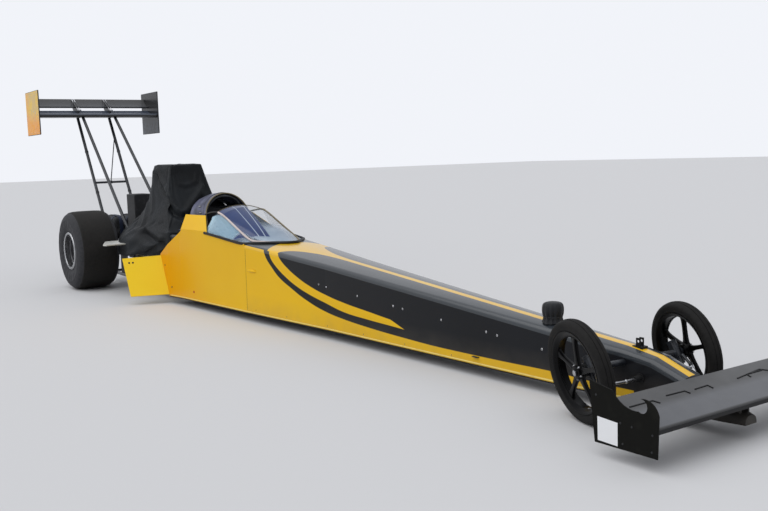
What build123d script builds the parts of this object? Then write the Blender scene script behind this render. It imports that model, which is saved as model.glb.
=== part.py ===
from build123d import *
from math import cos, radians, sin
import os

# A long, low drag racing car with its engine behind the driver, built in millimetres.
# Every place is written as a distance ahead of the rear axle (X), to the car's left (Y) and
# above the ground (Z). write() then moves all of it back by CENTRE_X, so that the finished
# car's origin is on the ground under the middle of its outline.

# Overall layout
WHEELBASE = 7620
FRONT_TRACK_HALF = 420
REAR_TRACK_HALF = 658
GROUND_CLEARANCE = 80

# Front wheels
FRONT_TYRE_R = 285.7
FRONT_TYRE_W = 84
FRONT_RIM_R = 215.9
FRONT_HUB_R = 38
HUB_HALF = 30
FRONT_SPOKES = 5

# Rear wheels
REAR_TYRE_R = 457
REAR_TYRE_W = 492
REAR_RIM_R = 203.2
REAR_RIM_W = 444
DISC_OFFSET = 90
REAR_AXLE_Z = REAR_TYRE_R
AXLE_SHAFT_R = 25
AXLE_TUBE_R = 45
HOUSING_HALF = 340
AXLE_CASE_HALF = 150
BRAKE_Y = 372
BRAKE_R = 160
BRAKE_T = 24

# Steering: the kingpins lean back, and the wheels are parked turned to the right
CASTER = 30
PARKED_TURN = 18
SCRUB = 58
SPINDLE_R = 14
KINGPIN_R = 9
KNUCKLE_R = 19
KNUCKLE_HALF = 58
ARM_DROP = 98
ARM_LENGTH = 70
RACK_HALF = 190
ROD_R = 9.5
BOOT_R = 17
AXLE_BEAM_R = 19

# Steering wheel: its middle, the way its column points at the driver, and its turns for one of the wheels'
WHEEL_CENTRE = (2950, 0, 706)
COLUMN_DIR = (-0.96, 0, 0.28)
COLUMN_R = 11
WHEEL_RATIO = 4

# Fits
SEAT_GAP = 0.3
RUNNING_GAP = 0.3
CLEARANCE = 6

# Body shell
SKIN = 5
CHINE_R = 32
COCKPIT_REAR = 1700
COCKPIT_FRONT = 3460
COWL_FRONT = 3950
NOSE_CAP_REAR = WHEELBASE + 380
NOSE_TIP = WHEELBASE + 715
DEFLECTOR_Y = 430

# Fuel filler and tow bracket on the nose
FILLER_X = WHEELBASE - 605
FILLER_Y = -24
TOW_BRACKET_X = WHEELBASE + 32
TOW_HOLE_R = 8

# Body side stations: distance ahead of the rear axle, half width, chine height, crown of the top
BODY = [
    (1700, 430, 780, 0),
    (1920, 430, 770, 0),
    (2150, 398, 765, 0),
    (2760, 360, 760, 0),
    (3460, 318, 700, 24),
    (3950, 283, 660, 32),
    (4700, 228, 598, 26),
    (WHEELBASE - 20, 100, 345, 24),
    (WHEELBASE + 180, 93, 318, 20),
    (NOSE_CAP_REAR, 84, 250, 16),
    (WHEELBASE + 580, 74, 158, 10),
    (NOSE_TIP, 46, 120, 6),
]

# Rear wing
WING_HALF_SPAN = 780
WING_PLATE_T = 14
WING_PLATE_REAR = -1856
WING_PLATE_FRONT = -1256
WING_PLATE_BOTTOM = 1862
WING_PLATE_TOP = 2412
WING_STRUT_Y = 212
STRUT_R = 19
CROSSBAR_R = 14
CROSSBAR_Z = 1220

# Rear wing elements: leading edge x, z and trailing edge x, z, then thickness
WING_ELEMENTS = {
    "rear_wing_main": (-1275, 2092, -1640, 2176, 46),
    "rear_wing_flap": (-1640, 2216, -1770, 2338, 22),
}

# Struts of the rear wing: top x and z, then the distance of the foot on the upper rail
UPRIGHT = ((-1600, 2085), -540)
DIAGONAL = ((-1388, 2085), 330)

# Front wing
FRONT_WING_HALF = 748
FRONT_WING_PLATE_T = 6
FRONT_PLATE_FRONT = WHEELBASE + 764
FRONT_WING_REAR = WHEELBASE + 428
FRONT_WING_REAR_Z = 272
FRONT_WING_FRONT = WHEELBASE + 732
FRONT_WING_FRONT_Z = 184
FRONT_WING_T = 26

# Chassis tubes: distance ahead of the rear axle, distance from the middle, upper rail height
RAIL_R = 20
CROSS_R = 16
LOWER_RAIL_Z = 112
RAILS = [
    (-560, 212, 470),
    (400, 252, 600),
    (1180, 300, 640),
    (1900, 352, 690),
    (2700, 322, 700),
    (3440, 272, 640),
]

# Roof of the cockpit: arch sections, each x of the feet, x of the top, half width, foot height, top height
SHROUD = [(2530, 2414, 240, 768, 1130), (2330, 2220, 240, 768, 1124), (2110, 2050, 240, 776, 1090)]
SHROUD_T = 8

# Headrest tab of a cockpit side: height of its fold and of its top, and the x and y of the top's two ends
TAB_FOOT = 784
TAB_TOP = 922
TAB_EDGE = ((2130, -300), (2520, -260))
FIREWALL_X = 2084
DECK_T = 5
HOOP_R = 16
HOOPS = [(2200, 205, 1056), (2400, 210, 1099)]
SHIELD_T = 4

# Windshield sections: x, half width and height of the crease, height of the middle, and how far out
# the foot stands on the cowl; None puts it against the cockpit sides
WINDSHIELD = [
    (2762, 245, 958, 1014, None),
    (2870, 235, 940, 1000, None),
    (3440, 235, 715, 820, None),
    (3600, 165, 712, 768, 215),
    (3780, 40, 706, 716, 60),
]

# Shelf of the parachute packs, on the rear cross tube of the chassis
CHUTE_HALF = 184
SHELF_T = 12
CHUTE_SHELF_Z = RAILS[0][2] + CROSS_R + SEAT_GAP

# Engine and its fabric cover: sections of the cover, each z, rear x, front x, half width
COVER_T = 12
SIDE_PLATE_Z = 576
SIDE_PLATE_LUGS = (580, 900)
COVER = [
    (462, 470, 1890, 440),
    (750, 510, 1900, 415),
    (900, 690, 1830, 345),
    (1050, 905, 1700, 270),
    (1425, 985, 1530, 208),
]
ENGINE_BLOCK = ((750, 1450), 222, (LOWER_RAIL_Z + CROSS_R + SEAT_GAP, 790))
BLOWER_BLOCK = ((960, 1400), 150, (790, 1100))
SCOOP_BLOCK = ((1020, 1480), 168, (1100, COVER[-1][0] - COVER_T - SEAT_GAP))

CENTRE_X = (FRONT_PLATE_FRONT + WING_PLATE_REAR) / 2

os.makedirs("parts", exist_ok=True)


def write(name, *shapes):
    """Write one node as a STEP file, in the finished car's own frame."""
    placed = [shape.moved(Location((-CENTRE_X, 0, 0))) for shape in shapes]
    solids = [solid for shape in placed for solid in shape.solids()]
    export_step(solids[0] if len(solids) == 1 else Compound(children=solids), f"parts/{name}.step")


def mirrored(shape):
    """The same piece on the other side of the car."""
    return shape.mirror(Plane.XZ)


def write_pair(name, right_piece):
    """Write a piece of the right side, and its mirror image on the left."""
    write(f"right_{name}", right_piece)
    write(f"left_{name}", mirrored(right_piece))


def between(table, x, column):
    """Read a column of a station table at x, straight between its rows."""
    for low, high in zip(table, table[1:]):
        if low[0] <= x <= high[0]:
            share = (x - low[0]) / (high[0] - low[0])
            return low[column] + share * (high[column] - low[column])
    raise ValueError(f"no station at {x}")


def tube(start, end, radius):
    """A round bar from one point to another."""
    along = Vector(*end) - Vector(*start)
    return Solid.make_cylinder(radius, along.length, Plane(origin=start, z_dir=along))


def tube_run(points, radius):
    """Straight tubes through the points, with a ball at each bend."""
    run = tube(points[0], points[1], radius)
    for start, end in zip(points[1:], points[2:]):
        run += tube(start, end, radius) + Pos(*start) * Sphere(radius)
    return run


def block(x_range, y_range, z_range):
    """A box between two values on each axis."""
    corner = (x_range[0], y_range[0], z_range[0])
    sizes = [high - low for low, high in (x_range, y_range, z_range)]
    return Solid.make_box(*sizes, Plane(corner))


def slab(points, z_dir, thickness):
    """A flat plate: an outline, thickened along a direction."""
    outline = make_face(Polyline(*points, close=True))
    return extrude(outline, amount=thickness, dir=z_dir)


def side_profile(points, y_low, y_high):
    """A plate seen from the side: outline points are (x, z)."""
    return slab([(x, y_low, z) for x, z in points], (0, 1, 0), y_high - y_low)


def ring(outer, inner, y_low, y_high):
    """A ring or tube around the Y axis."""
    return revolve(
        make_face(Polyline((inner, y_low), (outer, y_low), (outer, y_high), (inner, y_high), close=True)),
        Axis.Y,
    )


# Body sections
def wall_section(x, top_cut=0, bottom=GROUND_CLEARANCE, top=None):
    """One upright section of the right side's skin."""
    outer = -between(BODY, x, 1)
    height = between(BODY, x, 2) - top_cut if top is None else top
    corners = [(x, outer, bottom), (x, outer + SKIN, bottom), (x, outer + SKIN, height), (x, outer, height)]
    return make_face(Polyline(*corners, close=True))


def top_edges(x, inset):
    """Edges of the body's top, from right to left: a rounded chine, the crowned middle, a rounded chine."""
    half, chine, crown = (between(BODY, x, column) - inset * (column < 3) for column in (1, 2, 3))
    radius = CHINE_R - inset
    foot = chine - radius
    inner = half - radius
    shoulder = chine + crown * (1 - (inner / half) ** 2)
    bulge = (half - radius * (1 - cos(radians(45))), foot + (shoulder - foot) * sin(radians(45)))
    right = ThreePointArc((x, -half, foot), (x, -bulge[0], bulge[1]), (x, -inner, shoulder))
    middle = ThreePointArc((x, -inner, shoulder), (x, 0, chine + crown), (x, inner, shoulder))
    left = ThreePointArc((x, inner, shoulder), (x, bulge[0], bulge[1]), (x, half, foot))
    return [right, middle, left]


def crown_section(x):
    """One section of the top skin, down to the lower ends of its rounded chines."""
    outer = top_edges(x, 0)
    inner = top_edges(x, SKIN)
    feet = [Line(outer[-1] @ 1, inner[-1] @ 1), Line(inner[0] @ 0, outer[0] @ 0)]
    return make_face(outer + inner + feet)


def stations(low, high):
    """The station distances from low to high, with both ends."""
    return [low] + [row[0] for row in BODY if low < row[0] < high] + [high]


def side_panels():
    """Side skins: the front panels, and the cockpit sides with a headrest tab folded in over the roof's foot."""
    front = loft([wall_section(x, top_cut=CHINE_R) for x in stations(COCKPIT_FRONT, NOSE_CAP_REAR)], ruled=True)
    front -= tube((ROD_X, -400, ROD_Z), (ROD_X, 0, ROD_Z), BOOT_R + SEAT_GAP)
    rear = loft([wall_section(x, top=TAB_FOOT) for x in stations(COCKPIT_REAR, COCKPIT_FRONT)], ruled=True)
    outline = [
        (COCKPIT_FRONT, GROUND_CLEARANCE), (COCKPIT_FRONT, 700), (2760, 760), (2752, TAB_FOOT),
        (2208, TAB_FOOT), (2200, 764), (1704, 500), (1898, GROUND_CLEARANCE),
    ]
    rear &= side_profile(outline, -700, 0)
    foot = [(2208, -between(BODY, 2208, 1)), (2752, -between(BODY, 2752, 1))]
    bands = []
    for z, (back, ahead) in ((TAB_FOOT, foot), (TAB_TOP, TAB_EDGE)):
        corners = [(*back, z), (*ahead, z), (ahead[0], ahead[1] + SKIN, z), (back[0], back[1] + SKIN, z)]
        bands.append(make_face(Polyline(*corners, close=True)))
    return front, rear + loft(bands, ruled=True)


def top_panels():
    """The cowl ahead of the windshield, the long hood, and the closed cap of the nose."""
    cowl = loft([crown_section(x) for x in stations(COCKPIT_FRONT, COWL_FRONT)], ruled=True)
    hood = loft([crown_section(x) for x in stations(COWL_FRONT, NOSE_CAP_REAR)], ruled=True)
    return cowl, hood


def full_section(x, floor_z):
    """A section of all that lies between the crowned top and a floor height."""
    top = top_edges(x, 0)
    half = between(BODY, x, 1)
    floor = Polyline(top[-1] @ 1, (x, half, floor_z), (x, -half, floor_z), top[0] @ 0)
    return make_face(top + list(floor.edges()))


def nose_cap():
    """The solid tip of the nose, which carries the front wing."""
    return loft([full_section(x, GROUND_CLEARANCE) for x in stations(NOSE_CAP_REAR, NOSE_TIP)], ruled=True)


def belly_pan():
    """The flat floor between the side skins, from the firewall to the nose cap."""
    rows = stations(1905, NOSE_CAP_REAR)
    edge = [(x, -between(BODY, x, 1) - 2, GROUND_CLEARANCE) for x in rows]
    edge += [(x, between(BODY, x, 1) + 2, GROUND_CLEARANCE) for x in reversed(rows)]
    return slab(edge, (0, 0, -1), 8)


# Arched sections of the cockpit roof
def arch_line(x_foot, x_top, half, foot, top):
    """An arch on two straight legs in one leaning plane, from the right foot to the left foot."""
    spring = top - half
    x_spring = x_foot + (x_top - x_foot) * (spring - foot) / (top - foot)
    arc = ThreePointArc((x_spring, -half, spring), (x_top, 0, top), (x_spring, half, spring))
    return [Line((x_foot, -half, foot), arc @ 0), arc, Line(arc @ 1, (x_foot, half, foot))]


def arch_face(x_foot, x_top, half, foot, top):
    """The whole area under an arch."""
    return make_face(arch_line(x_foot, x_top, half, foot, top) + [Line((x_foot, half, foot), (x_foot, -half, foot))])


def arch_ring(x_foot, x_top, half, foot, top):
    """A section of the cockpit roof's wall: an arch within an arch, in one leaning plane."""
    lean = (x_top - x_foot) / (top - foot)
    within = half - SHROUD_T
    outer = arch_line(x_foot, x_top, half, foot, top)
    inner = arch_line(x_foot, x_foot + lean * (top - SHROUD_T - foot), within, foot, top - SHROUD_T)
    feet = [Line((x_foot, side * half, foot), (x_foot, side * within, foot)) for side in (-1, 1)]
    return make_face(outer + inner + feet)


def cowl_height(x, y):
    """Height of the outer face of the body's top at a distance from the middle."""
    return between(BODY, x, 2) + between(BODY, x, 3) * (1 - (y / between(BODY, x, 1)) ** 2)


def shield_section(row, inset):
    """A section of the windshield: leaning sides up to a crease, and an arc between the creases."""
    x, crease, crease_z, top, foot = row
    if foot is None:
        foot = between(BODY, x, 1) - SKIN - SEAT_GAP
        foot_z = between(BODY, x, 2) - 6
    else:
        foot_z = cowl_height(x, foot) - SKIN / 2
    left = (x, crease - inset, crease_z - inset)
    right = (x, inset - crease, crease_z - inset)
    arc = ThreePointArc(right, (x, 0, top - inset), left)
    sides = Polyline(left, (x, foot - inset, foot_z - inset), (x, inset - foot, foot_z - inset), right)
    return make_face([arc] + list(sides.edges()))


def windshield():
    """The clear screen ahead of the driver, open below, seated on the cowl and against the cockpit sides."""
    outer = loft([shield_section(row, 0) for row in WINDSHIELD], ruled=True)
    screen = outer - loft([shield_section(row, SHIELD_T) for row in WINDSHIELD], ruled=True)
    under = loft([full_section(x, GROUND_CLEARANCE) for x in stations(COCKPIT_FRONT, COWL_FRONT)], ruled=True)
    screen -= Pos(-SEAT_GAP, 0, SEAT_GAP) * under
    return max(screen.solids(), key=lambda solid: solid.volume)


def cockpit_shroud():
    """The arched cover over the driver's head, with a flat deck out to the cockpit sides."""
    shroud = loft([arch_ring(*row) for row in SHROUD], ruled=True)
    rear, front = SHROUD[-1], SHROUD[0]
    foot = max(front[3], rear[3])
    for side in (-1, 1):
        edge = [(x, side * (between(BODY, x, 1) - SKIN - SEAT_GAP), foot - DECK_T) for x in (2150, 2690)]
        inner = [(x_foot, side * (half - SHROUD_T)) for x_foot, _, half, _, _ in SHROUD]
        deck = edge + [(2690, inner[0][1], foot - DECK_T)] + [(x, y, foot - DECK_T) for x, y in inner]
        shroud += slab(deck, (0, 0, 1), DECK_T)
    return shroud


# Chassis
def rail_points(side, upper):
    """The bends of one chassis rail; side is -1 on the right and 1 on the left."""
    return [(x, side * y, z if upper else LOWER_RAIL_Z) for x, y, z in RAILS]


def chassis_side(side):
    """One side truss: two rails, uprights at the stations and a diagonal in each bay."""
    lower = rail_points(side, False)
    upper = rail_points(side, True)
    truss = tube_run(lower, RAIL_R) + tube_run(upper, RAIL_R)
    for low, high in zip(lower, upper):
        truss += tube(low, high, RAIL_R - 4)
    for low, high in zip(lower[1:-1], upper[2:]):
        truss += tube(low, high, RAIL_R - 7)
    return truss


def chassis_cross_tubes():
    """Cross tubes between the two trusses, seated against the rails."""
    places = [(x, LOWER_RAIL_Z) for x, _, _ in RAILS]
    places += [(hoop_row[0], LOWER_RAIL_Z) for hoop_row in HOOPS]
    places.append((RAILS[0][0], RAILS[0][2]))
    bars = []
    for x, z in places:
        reach = between(RAILS, x, 1) - RAIL_R - SEAT_GAP
        bars.append(tube((x, -reach, z), (x, reach, z), CROSS_R))
    return bars


def hoop(x, half, top, foot):
    """A roll hoop: two upright legs and a round top."""
    centre = top - half
    legs = tube((x, -half, foot), (x, -half, centre), HOOP_R) + tube((x, half, foot), (x, half, centre), HOOP_R)
    section = Plane((x, half, centre), x_dir=(0, 1, 0), z_dir=(0, 0, 1)) * Circle(HOOP_R)
    return legs + revolve(section, Axis((x, 0, centre), (1, 0, 0)), 180)


def roll_cage():
    """Two hoops around the driver's head, tied by three bars."""
    foot = LOWER_RAIL_Z + CROSS_R + SEAT_GAP
    cage = hoop(*HOOPS[0], foot) + hoop(*HOOPS[1], foot)
    for turn in (40, 90, 140):
        ends = []
        for x, half, top in HOOPS:
            ends.append((x, half * cos(radians(turn)), top - half + half * sin(radians(turn))))
        cage += tube(*ends, HOOP_R - 3)
    return cage


# Wheels: made around the origin with the axle along Y, the outside of the wheel towards -Y
def front_tyre():
    half = FRONT_TYRE_W / 2
    seat = FRONT_RIM_R
    wall = half - 9
    shoulder = (FRONT_TYRE_R - 9, half - 11)
    left = [Line((seat, -wall), (seat + 13, -wall)),
            ThreePointArc((seat + 13, -wall), (seat + 38, -half), (shoulder[0], -shoulder[1]))]
    crown = ThreePointArc((shoulder[0], -shoulder[1]), (FRONT_TYRE_R, 0), shoulder)
    right = [ThreePointArc(shoulder, (seat + 38, half), (seat + 13, wall)),
             Line((seat + 13, wall), (seat, wall)), Line((seat, wall), (seat, -wall))]
    return revolve(make_face(left + [crown] + right), Axis.Y)


def front_rim():
    """Deep five-spoke wheel with a flange at each edge and a bored hub."""
    half = FRONT_TYRE_W / 2 - 9
    rim = ring(FRONT_RIM_R - SEAT_GAP, FRONT_RIM_R - 9, -half - 5, half + 5)
    for low, high in ((-half - 5, -half - 0.5), (half + 0.5, half + 5)):
        rim += ring(FRONT_RIM_R + 10, FRONT_RIM_R - 9, low, high)
    rim += ring(FRONT_HUB_R, SPINDLE_R + RUNNING_GAP, -30, 30)
    spoke = [(FRONT_HUB_R - 6, -17), (FRONT_RIM_R - 6, -10), (FRONT_RIM_R - 6, 10), (FRONT_HUB_R - 6, 17)]
    arm = slab([(x, -13, z) for x, z in spoke], (0, 1, 0), 20)
    for index in range(FRONT_SPOKES):
        rim += Rot(0, 90 + index * 360 / FRONT_SPOKES, 0) * arm
    return rim


def rear_tyre():
    half = REAR_TYRE_W / 2
    seat = REAR_RIM_R
    bead = REAR_RIM_W / 2 - 18
    side = (410, half - 14)
    shoulder = (448, half - 62)
    profile = [
        Line((seat, -bead), (seat + 20, -bead)),
        ThreePointArc((seat + 20, -bead), (320, -half), (side[0], -side[1])),
        ThreePointArc((side[0], -side[1]), (438, -half + 30), (shoulder[0], -shoulder[1])),
        ThreePointArc((shoulder[0], -shoulder[1]), (REAR_TYRE_R, 0), shoulder),
        ThreePointArc(shoulder, (438, half - 30), side),
        ThreePointArc(side, (320, half), (seat + 20, bead)),
        Line((seat + 20, bead), (seat, bead)),
        Line((seat, bead), (seat, -bead)),
    ]
    return revolve(make_face(profile), Axis.Y)


def rear_rim():
    """Very wide wheel with a centre disc set far in from its outer edge."""
    half = REAR_RIM_W / 2
    rim = ring(REAR_RIM_R - SEAT_GAP, REAR_RIM_R - 12, -half, half)
    for low, high in ((-half, -half + 17), (half - 17, half)):
        rim += ring(REAR_RIM_R + 17, REAR_RIM_R - 12, low, high)
    disc = ring(REAR_RIM_R - 10, 34, DISC_OFFSET - 7, DISC_OFFSET + 7)
    for index in range(8):
        turn = radians(index * 45 + 22.5)
        centre = (125 * cos(turn), -half, 125 * sin(turn))
        disc -= Pos(*centre) * Rot(-90, 0, 0) * Cylinder(24, REAR_RIM_W, align=(Align.CENTER, Align.CENTER, Align.MIN))
    return rim + disc


def placed_rear(wheel, side):
    """A rear wheel piece at its end of the axle, with its outside outwards."""
    return Pos(0, side * REAR_TRACK_HALF, REAR_AXLE_Z) * (Rot(0, 0, 180) if side > 0 else Rot(0, 0, 0)) * wheel


HUB_FACE = REAR_TRACK_HALF - DISC_OFFSET - 7

# Steering geometry: the kingpin axis, and the wheel's axle after turning about it
KINGPIN = Vector(-sin(radians(CASTER)), 0, cos(radians(CASTER)))
FORWARD_ARM = Vector(cos(radians(CASTER)), 0, sin(radians(CASTER)))
AXLE_DIR = Vector(0, 1, 0).rotate(Axis((0, 0, 0), tuple(KINGPIN)), -PARKED_TURN)


def turned(shape, centre):
    """Turn a piece, made straight ahead at the origin, about the leaning kingpin, and set it at centre."""
    return Pos(*centre) * shape.rotate(Axis((0, 0, 0), tuple(KINGPIN)), -PARKED_TURN)


FRONT_AXLE_Z = -turned(front_tyre(), (0, 0, 0)).bounding_box().min.Z
KINGPIN_Y = FRONT_TRACK_HALF - SCRUB


def front_axle_z(side):
    """Height of one kingpin's middle: the parked wheels touch the ground, so the beam lies a little askew."""
    return FRONT_AXLE_Z - side * SCRUB * AXLE_DIR.Z


def kingpin_centre(side):
    return Vector(WHEELBASE, side * KINGPIN_Y, front_axle_z(side))


def wheel_centre(side):
    return kingpin_centre(side) + AXLE_DIR * (side * SCRUB)


ARM_SWING = ARM_LENGTH * sin(radians(PARKED_TURN))


def ear(side, sign):
    """One ear of the axle's yoke, above (1) or below (-1) the knuckle's boss."""
    near, far = KNUCKLE_HALF + 0.5, KNUCKLE_HALF + 12
    return tube(tuple(KINGPIN * (sign * near)), tuple(KINGPIN * (sign * far)), KNUCKLE_R)


def yoke(side):
    """The fork at one end of the front axle, with the kingpin bolt through it."""
    web_in, web_out = KNUCKLE_R + CLEARANCE + 14, KNUCKLE_R + CLEARANCE
    upright = Plane((0, 0, 0), x_dir=(0, 1, 0), z_dir=tuple(KINGPIN))
    far = KNUCKLE_HALF + 12
    centre = -side * (web_in + web_out) / 2
    web = Plane(origin=(0, centre, 0), x_dir=(0, 1, 0), z_dir=tuple(KINGPIN)) * Box(web_in - web_out, 30, 2 * far)
    fork = ear(side, 1) + ear(side, -1) + web
    for sign in (1, -1):
        middle = KINGPIN * (sign * (KNUCKLE_HALF + 6.25))
        strap = Plane(origin=tuple(middle + Vector(0, -side * web_in / 2, 0)), x_dir=(0, 1, 0), z_dir=tuple(KINGPIN))
        fork += strap * Box(web_in, 30, 11.5)
    fork += tube(tuple(KINGPIN * -(far + 4)), tuple(KINGPIN * (far + 4)), KINGPIN_R)
    return Pos(*kingpin_centre(side)) * fork


def axle_ends():
    """The two ends of the front beam, inside the webs of its yokes."""
    ends = []
    for side in (-1, 1):
        centre = kingpin_centre(side)
        ends.append((centre.X, centre.Y - side * (KNUCKLE_R + CLEARANCE + 5), centre.Z))
    return ends


def front_axle():
    """The straight beam through the nose, with a yoke at each end."""
    return tube(*axle_ends(), AXLE_BEAM_R) + yoke(-1) + yoke(1)


def knuckle(side):
    """Kingpin boss, spindle and steering arm, made straight ahead with the kingpin's middle at the origin."""
    boss = tube(tuple(KINGPIN * -KNUCKLE_HALF), tuple(KINGPIN * KNUCKLE_HALF), KNUCKLE_R)
    hub_inner, hub_outer = SCRUB - HUB_HALF - 0.5, SCRUB + HUB_HALF + 0.5
    spindle = tube((0, side * (KNUCKLE_R - 3), 0), (0, side * (hub_outer + 8), 0), SPINDLE_R)
    spindle += tube((0, side * (KNUCKLE_R - 3), 0), (0, side * hub_inner, 0), SPINDLE_R + 7)
    spindle += tube((0, side * hub_outer, 0), (0, side * (hub_outer + 8), 0), SPINDLE_R + 5)
    elbow = [KINGPIN * -25, KINGPIN * -30 + FORWARD_ARM * 36, ARM_END]
    arm = tube_run([tuple(point) for point in elbow], 9)
    pad = tube(tuple(ARM_END - KINGPIN * 6), tuple(ARM_END + KINGPIN * 6), 12)
    solid = boss + spindle + arm + pad
    solid -= tube(tuple(KINGPIN * -200), tuple(KINGPIN * 200), KINGPIN_R + RUNNING_GAP)
    return solid


def steering_rack():
    """The rack bar through the nose, with a tie rod and an eye at each end, parked to the right."""
    inner = {side: (ROD_X, side * RACK_HALF - ARM_SWING, ROD_Z) for side in (-1, 1)}
    rack = tube(inner[-1], inner[1], ROD_R)
    for side in (-1, 1):
        eye = rod_eye(side)
        rack += tube(inner[side], tuple(eye), ROD_R - 1.5) + Pos(*inner[side]) * Sphere(ROD_R + 2)
        rack += tube(tuple(eye - KINGPIN * 9), tuple(eye + KINGPIN * 9), 13)
    return rack


def rod_eye(side):
    """Middle of a tie rod's eye, which lies just under the pad of the steering arm."""
    return kingpin_centre(side) + (ARM_END - KINGPIN * 15.5).rotate(Axis((0, 0, 0), tuple(KINGPIN)), -PARKED_TURN)


def rack_boot(side):
    """The collar around the rack where it leaves the side of the nose."""
    skin = between(BODY, ROD_X, 1)
    start = (ROD_X, side * (skin - 12), ROD_Z)
    collar = tube(start, (ROD_X, side * (skin + 52), ROD_Z), BOOT_R)
    flange = tube((ROD_X, side * (skin + SEAT_GAP + 1.5), ROD_Z), (ROD_X, side * (skin + 7), ROD_Z), BOOT_R + 9)
    return collar + flange - tube((ROD_X, -300, ROD_Z), (ROD_X, 300, ROD_Z), ROD_R + RUNNING_GAP)


# Rear axle
def axle_housing():
    """The centre case of the rear axle and its two tubes."""
    reach = AXLE_CASE_HALF
    case = block((-reach, reach), (-120, 120), (REAR_AXLE_Z - reach, REAR_AXLE_Z + reach))
    case += Pos(0, 0, REAR_AXLE_Z) * ring(AXLE_TUBE_R, 0, -HOUSING_HALF, HOUSING_HALF)
    for side in (-1, 1):
        low, high = sorted((side * (HOUSING_HALF - 18), side * HOUSING_HALF))
        case += Pos(0, 0, REAR_AXLE_Z) * ring(AXLE_TUBE_R + 22, 0, low, high)
    case -= Pos(0, 0, REAR_AXLE_Z) * ring(AXLE_SHAFT_R + CLEARANCE, 0, -HOUSING_HALF + 20, HOUSING_HALF - 20)
    case -= Pos(0, 0, REAR_AXLE_Z) * ring(AXLE_SHAFT_R + RUNNING_GAP, 0, -HOUSING_HALF - 1, HOUSING_HALF + 1)
    return case


def axle_shaft():
    """The one-piece shaft with its two wheel flanges."""
    shaft = ring(AXLE_SHAFT_R, 0, -HUB_FACE - 40, HUB_FACE + 40)
    for side in (-1, 1):
        low, high = sorted((side * (HUB_FACE - 16), side * HUB_FACE))
        shaft += ring(95, 0, low, high)
        low, high = sorted((side * (BRAKE_Y + BRAKE_T / 2), side * (BRAKE_Y + BRAKE_T / 2 + 22)))
        shaft += ring(60, 0, low, high)
    return Pos(0, 0, REAR_AXLE_Z) * shaft


def brake_disc(side):
    low, high = sorted((side * (BRAKE_Y - BRAKE_T / 2), side * (BRAKE_Y + BRAKE_T / 2)))
    return Pos(0, 0, REAR_AXLE_Z) * ring(BRAKE_R, AXLE_SHAFT_R + SEAT_GAP, low, high)


def brake_caliper(side):
    """A block that reaches around the disc's front edge, on an arm from the end of the axle tube."""
    half = BRAKE_T / 2 + CLEARANCE
    body = block((90, BRAKE_R + 40), (BRAKE_Y - half - 18, BRAKE_Y + half + 18), (REAR_AXLE_Z - 60, REAR_AXLE_Z + 60))
    body -= block((0, BRAKE_R + CLEARANCE), (BRAKE_Y - half, BRAKE_Y + half), (REAR_AXLE_Z - 90, REAR_AXLE_Z + 90))
    arm = block((AXLE_TUBE_R, 130), (HOUSING_HALF - 14, HOUSING_HALF), (REAR_AXLE_Z - 30, REAR_AXLE_Z + 30))
    arm -= Pos(0, 0, REAR_AXLE_Z) * ring(AXLE_TUBE_R + 22 + SEAT_GAP, 0, 0, 500)
    caliper = body + arm
    return caliper if side > 0 else mirrored(caliper)


def axle_stays():
    """Plates that hang the axle tubes in the chassis trusses."""
    stays = []
    for side in (-1, 1):
        y = side * between(RAILS, 0, 1)
        low, high = sorted((y - side * 6, y + side * 6))
        top = between(RAILS, 0, 2) - RAIL_R - SEAT_GAP
        foot = LOWER_RAIL_Z + RAIL_R + SEAT_GAP
        outline = [(-110, foot), (110, foot), (110, top + 16), (-110, top - 14)]
        plate = side_profile(outline, low, high)
        plate -= Pos(0, 0, REAR_AXLE_Z) * ring(AXLE_TUBE_R + SEAT_GAP, 0, -500, 500)
        for upper in (False, True):
            plate -= tube_run(rail_points(side, upper)[:2], RAIL_R + SEAT_GAP)
        stays.extend(plate.solids())
    return stays


# Wings
def foil(x_lead, z_lead, x_trail, z_trail, thick, y_low, y_high, sag=0.10):
    """A wing element: a round leading edge and a body that thins to its trailing edge."""
    along = Vector(x_trail - x_lead, 0, z_trail - z_lead)
    length = along.length
    along = along.normalized()
    up = Vector(-along.Z, 0, along.X) * (1 if along.X > 0 else -1)
    nose = Vector(x_lead, y_low, z_lead) + along * (thick / 2)
    tail = Vector(x_trail, y_low, z_trail)
    middle = (nose + tail) * 0.5 - up * (sag * length)
    top, bottom = nose + up * (thick / 2), nose - up * (thick / 2)
    edges = [
        ThreePointArc(tuple(bottom), tuple(nose - along * (thick / 2)), tuple(top)),
        ThreePointArc(tuple(top), tuple(middle + up * (thick * 0.36)), tuple(tail + up * 2)),
        Line(tuple(tail + up * 2), tuple(tail - up * 2)),
        ThreePointArc(tuple(tail - up * 2), tuple(middle - up * (thick * 0.36)), tuple(bottom)),
    ]
    return extrude(make_face(edges), amount=y_high - y_low, dir=(0, 1, 0))


def rear_wing_plate(side):
    low, high = sorted((side * (WING_HALF_SPAN + SEAT_GAP), side * (WING_HALF_SPAN + WING_PLATE_T)))
    return block((WING_PLATE_REAR, WING_PLATE_FRONT), (low, high), (WING_PLATE_BOTTOM, WING_PLATE_TOP))


def wing_bracket(y, elements):
    """A rib that ties the flap to the main element."""
    outline = [(-1470, 2160), (-1700, 2290), (-1790, 2320), (-1800, 2250), (-1690, 2130), (-1560, 2120)]
    rib = side_profile(outline, y - 4, y + 4)
    for element in elements:
        rib -= element
    return max(rib.solids(), key=lambda solid: solid.volume)


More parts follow.
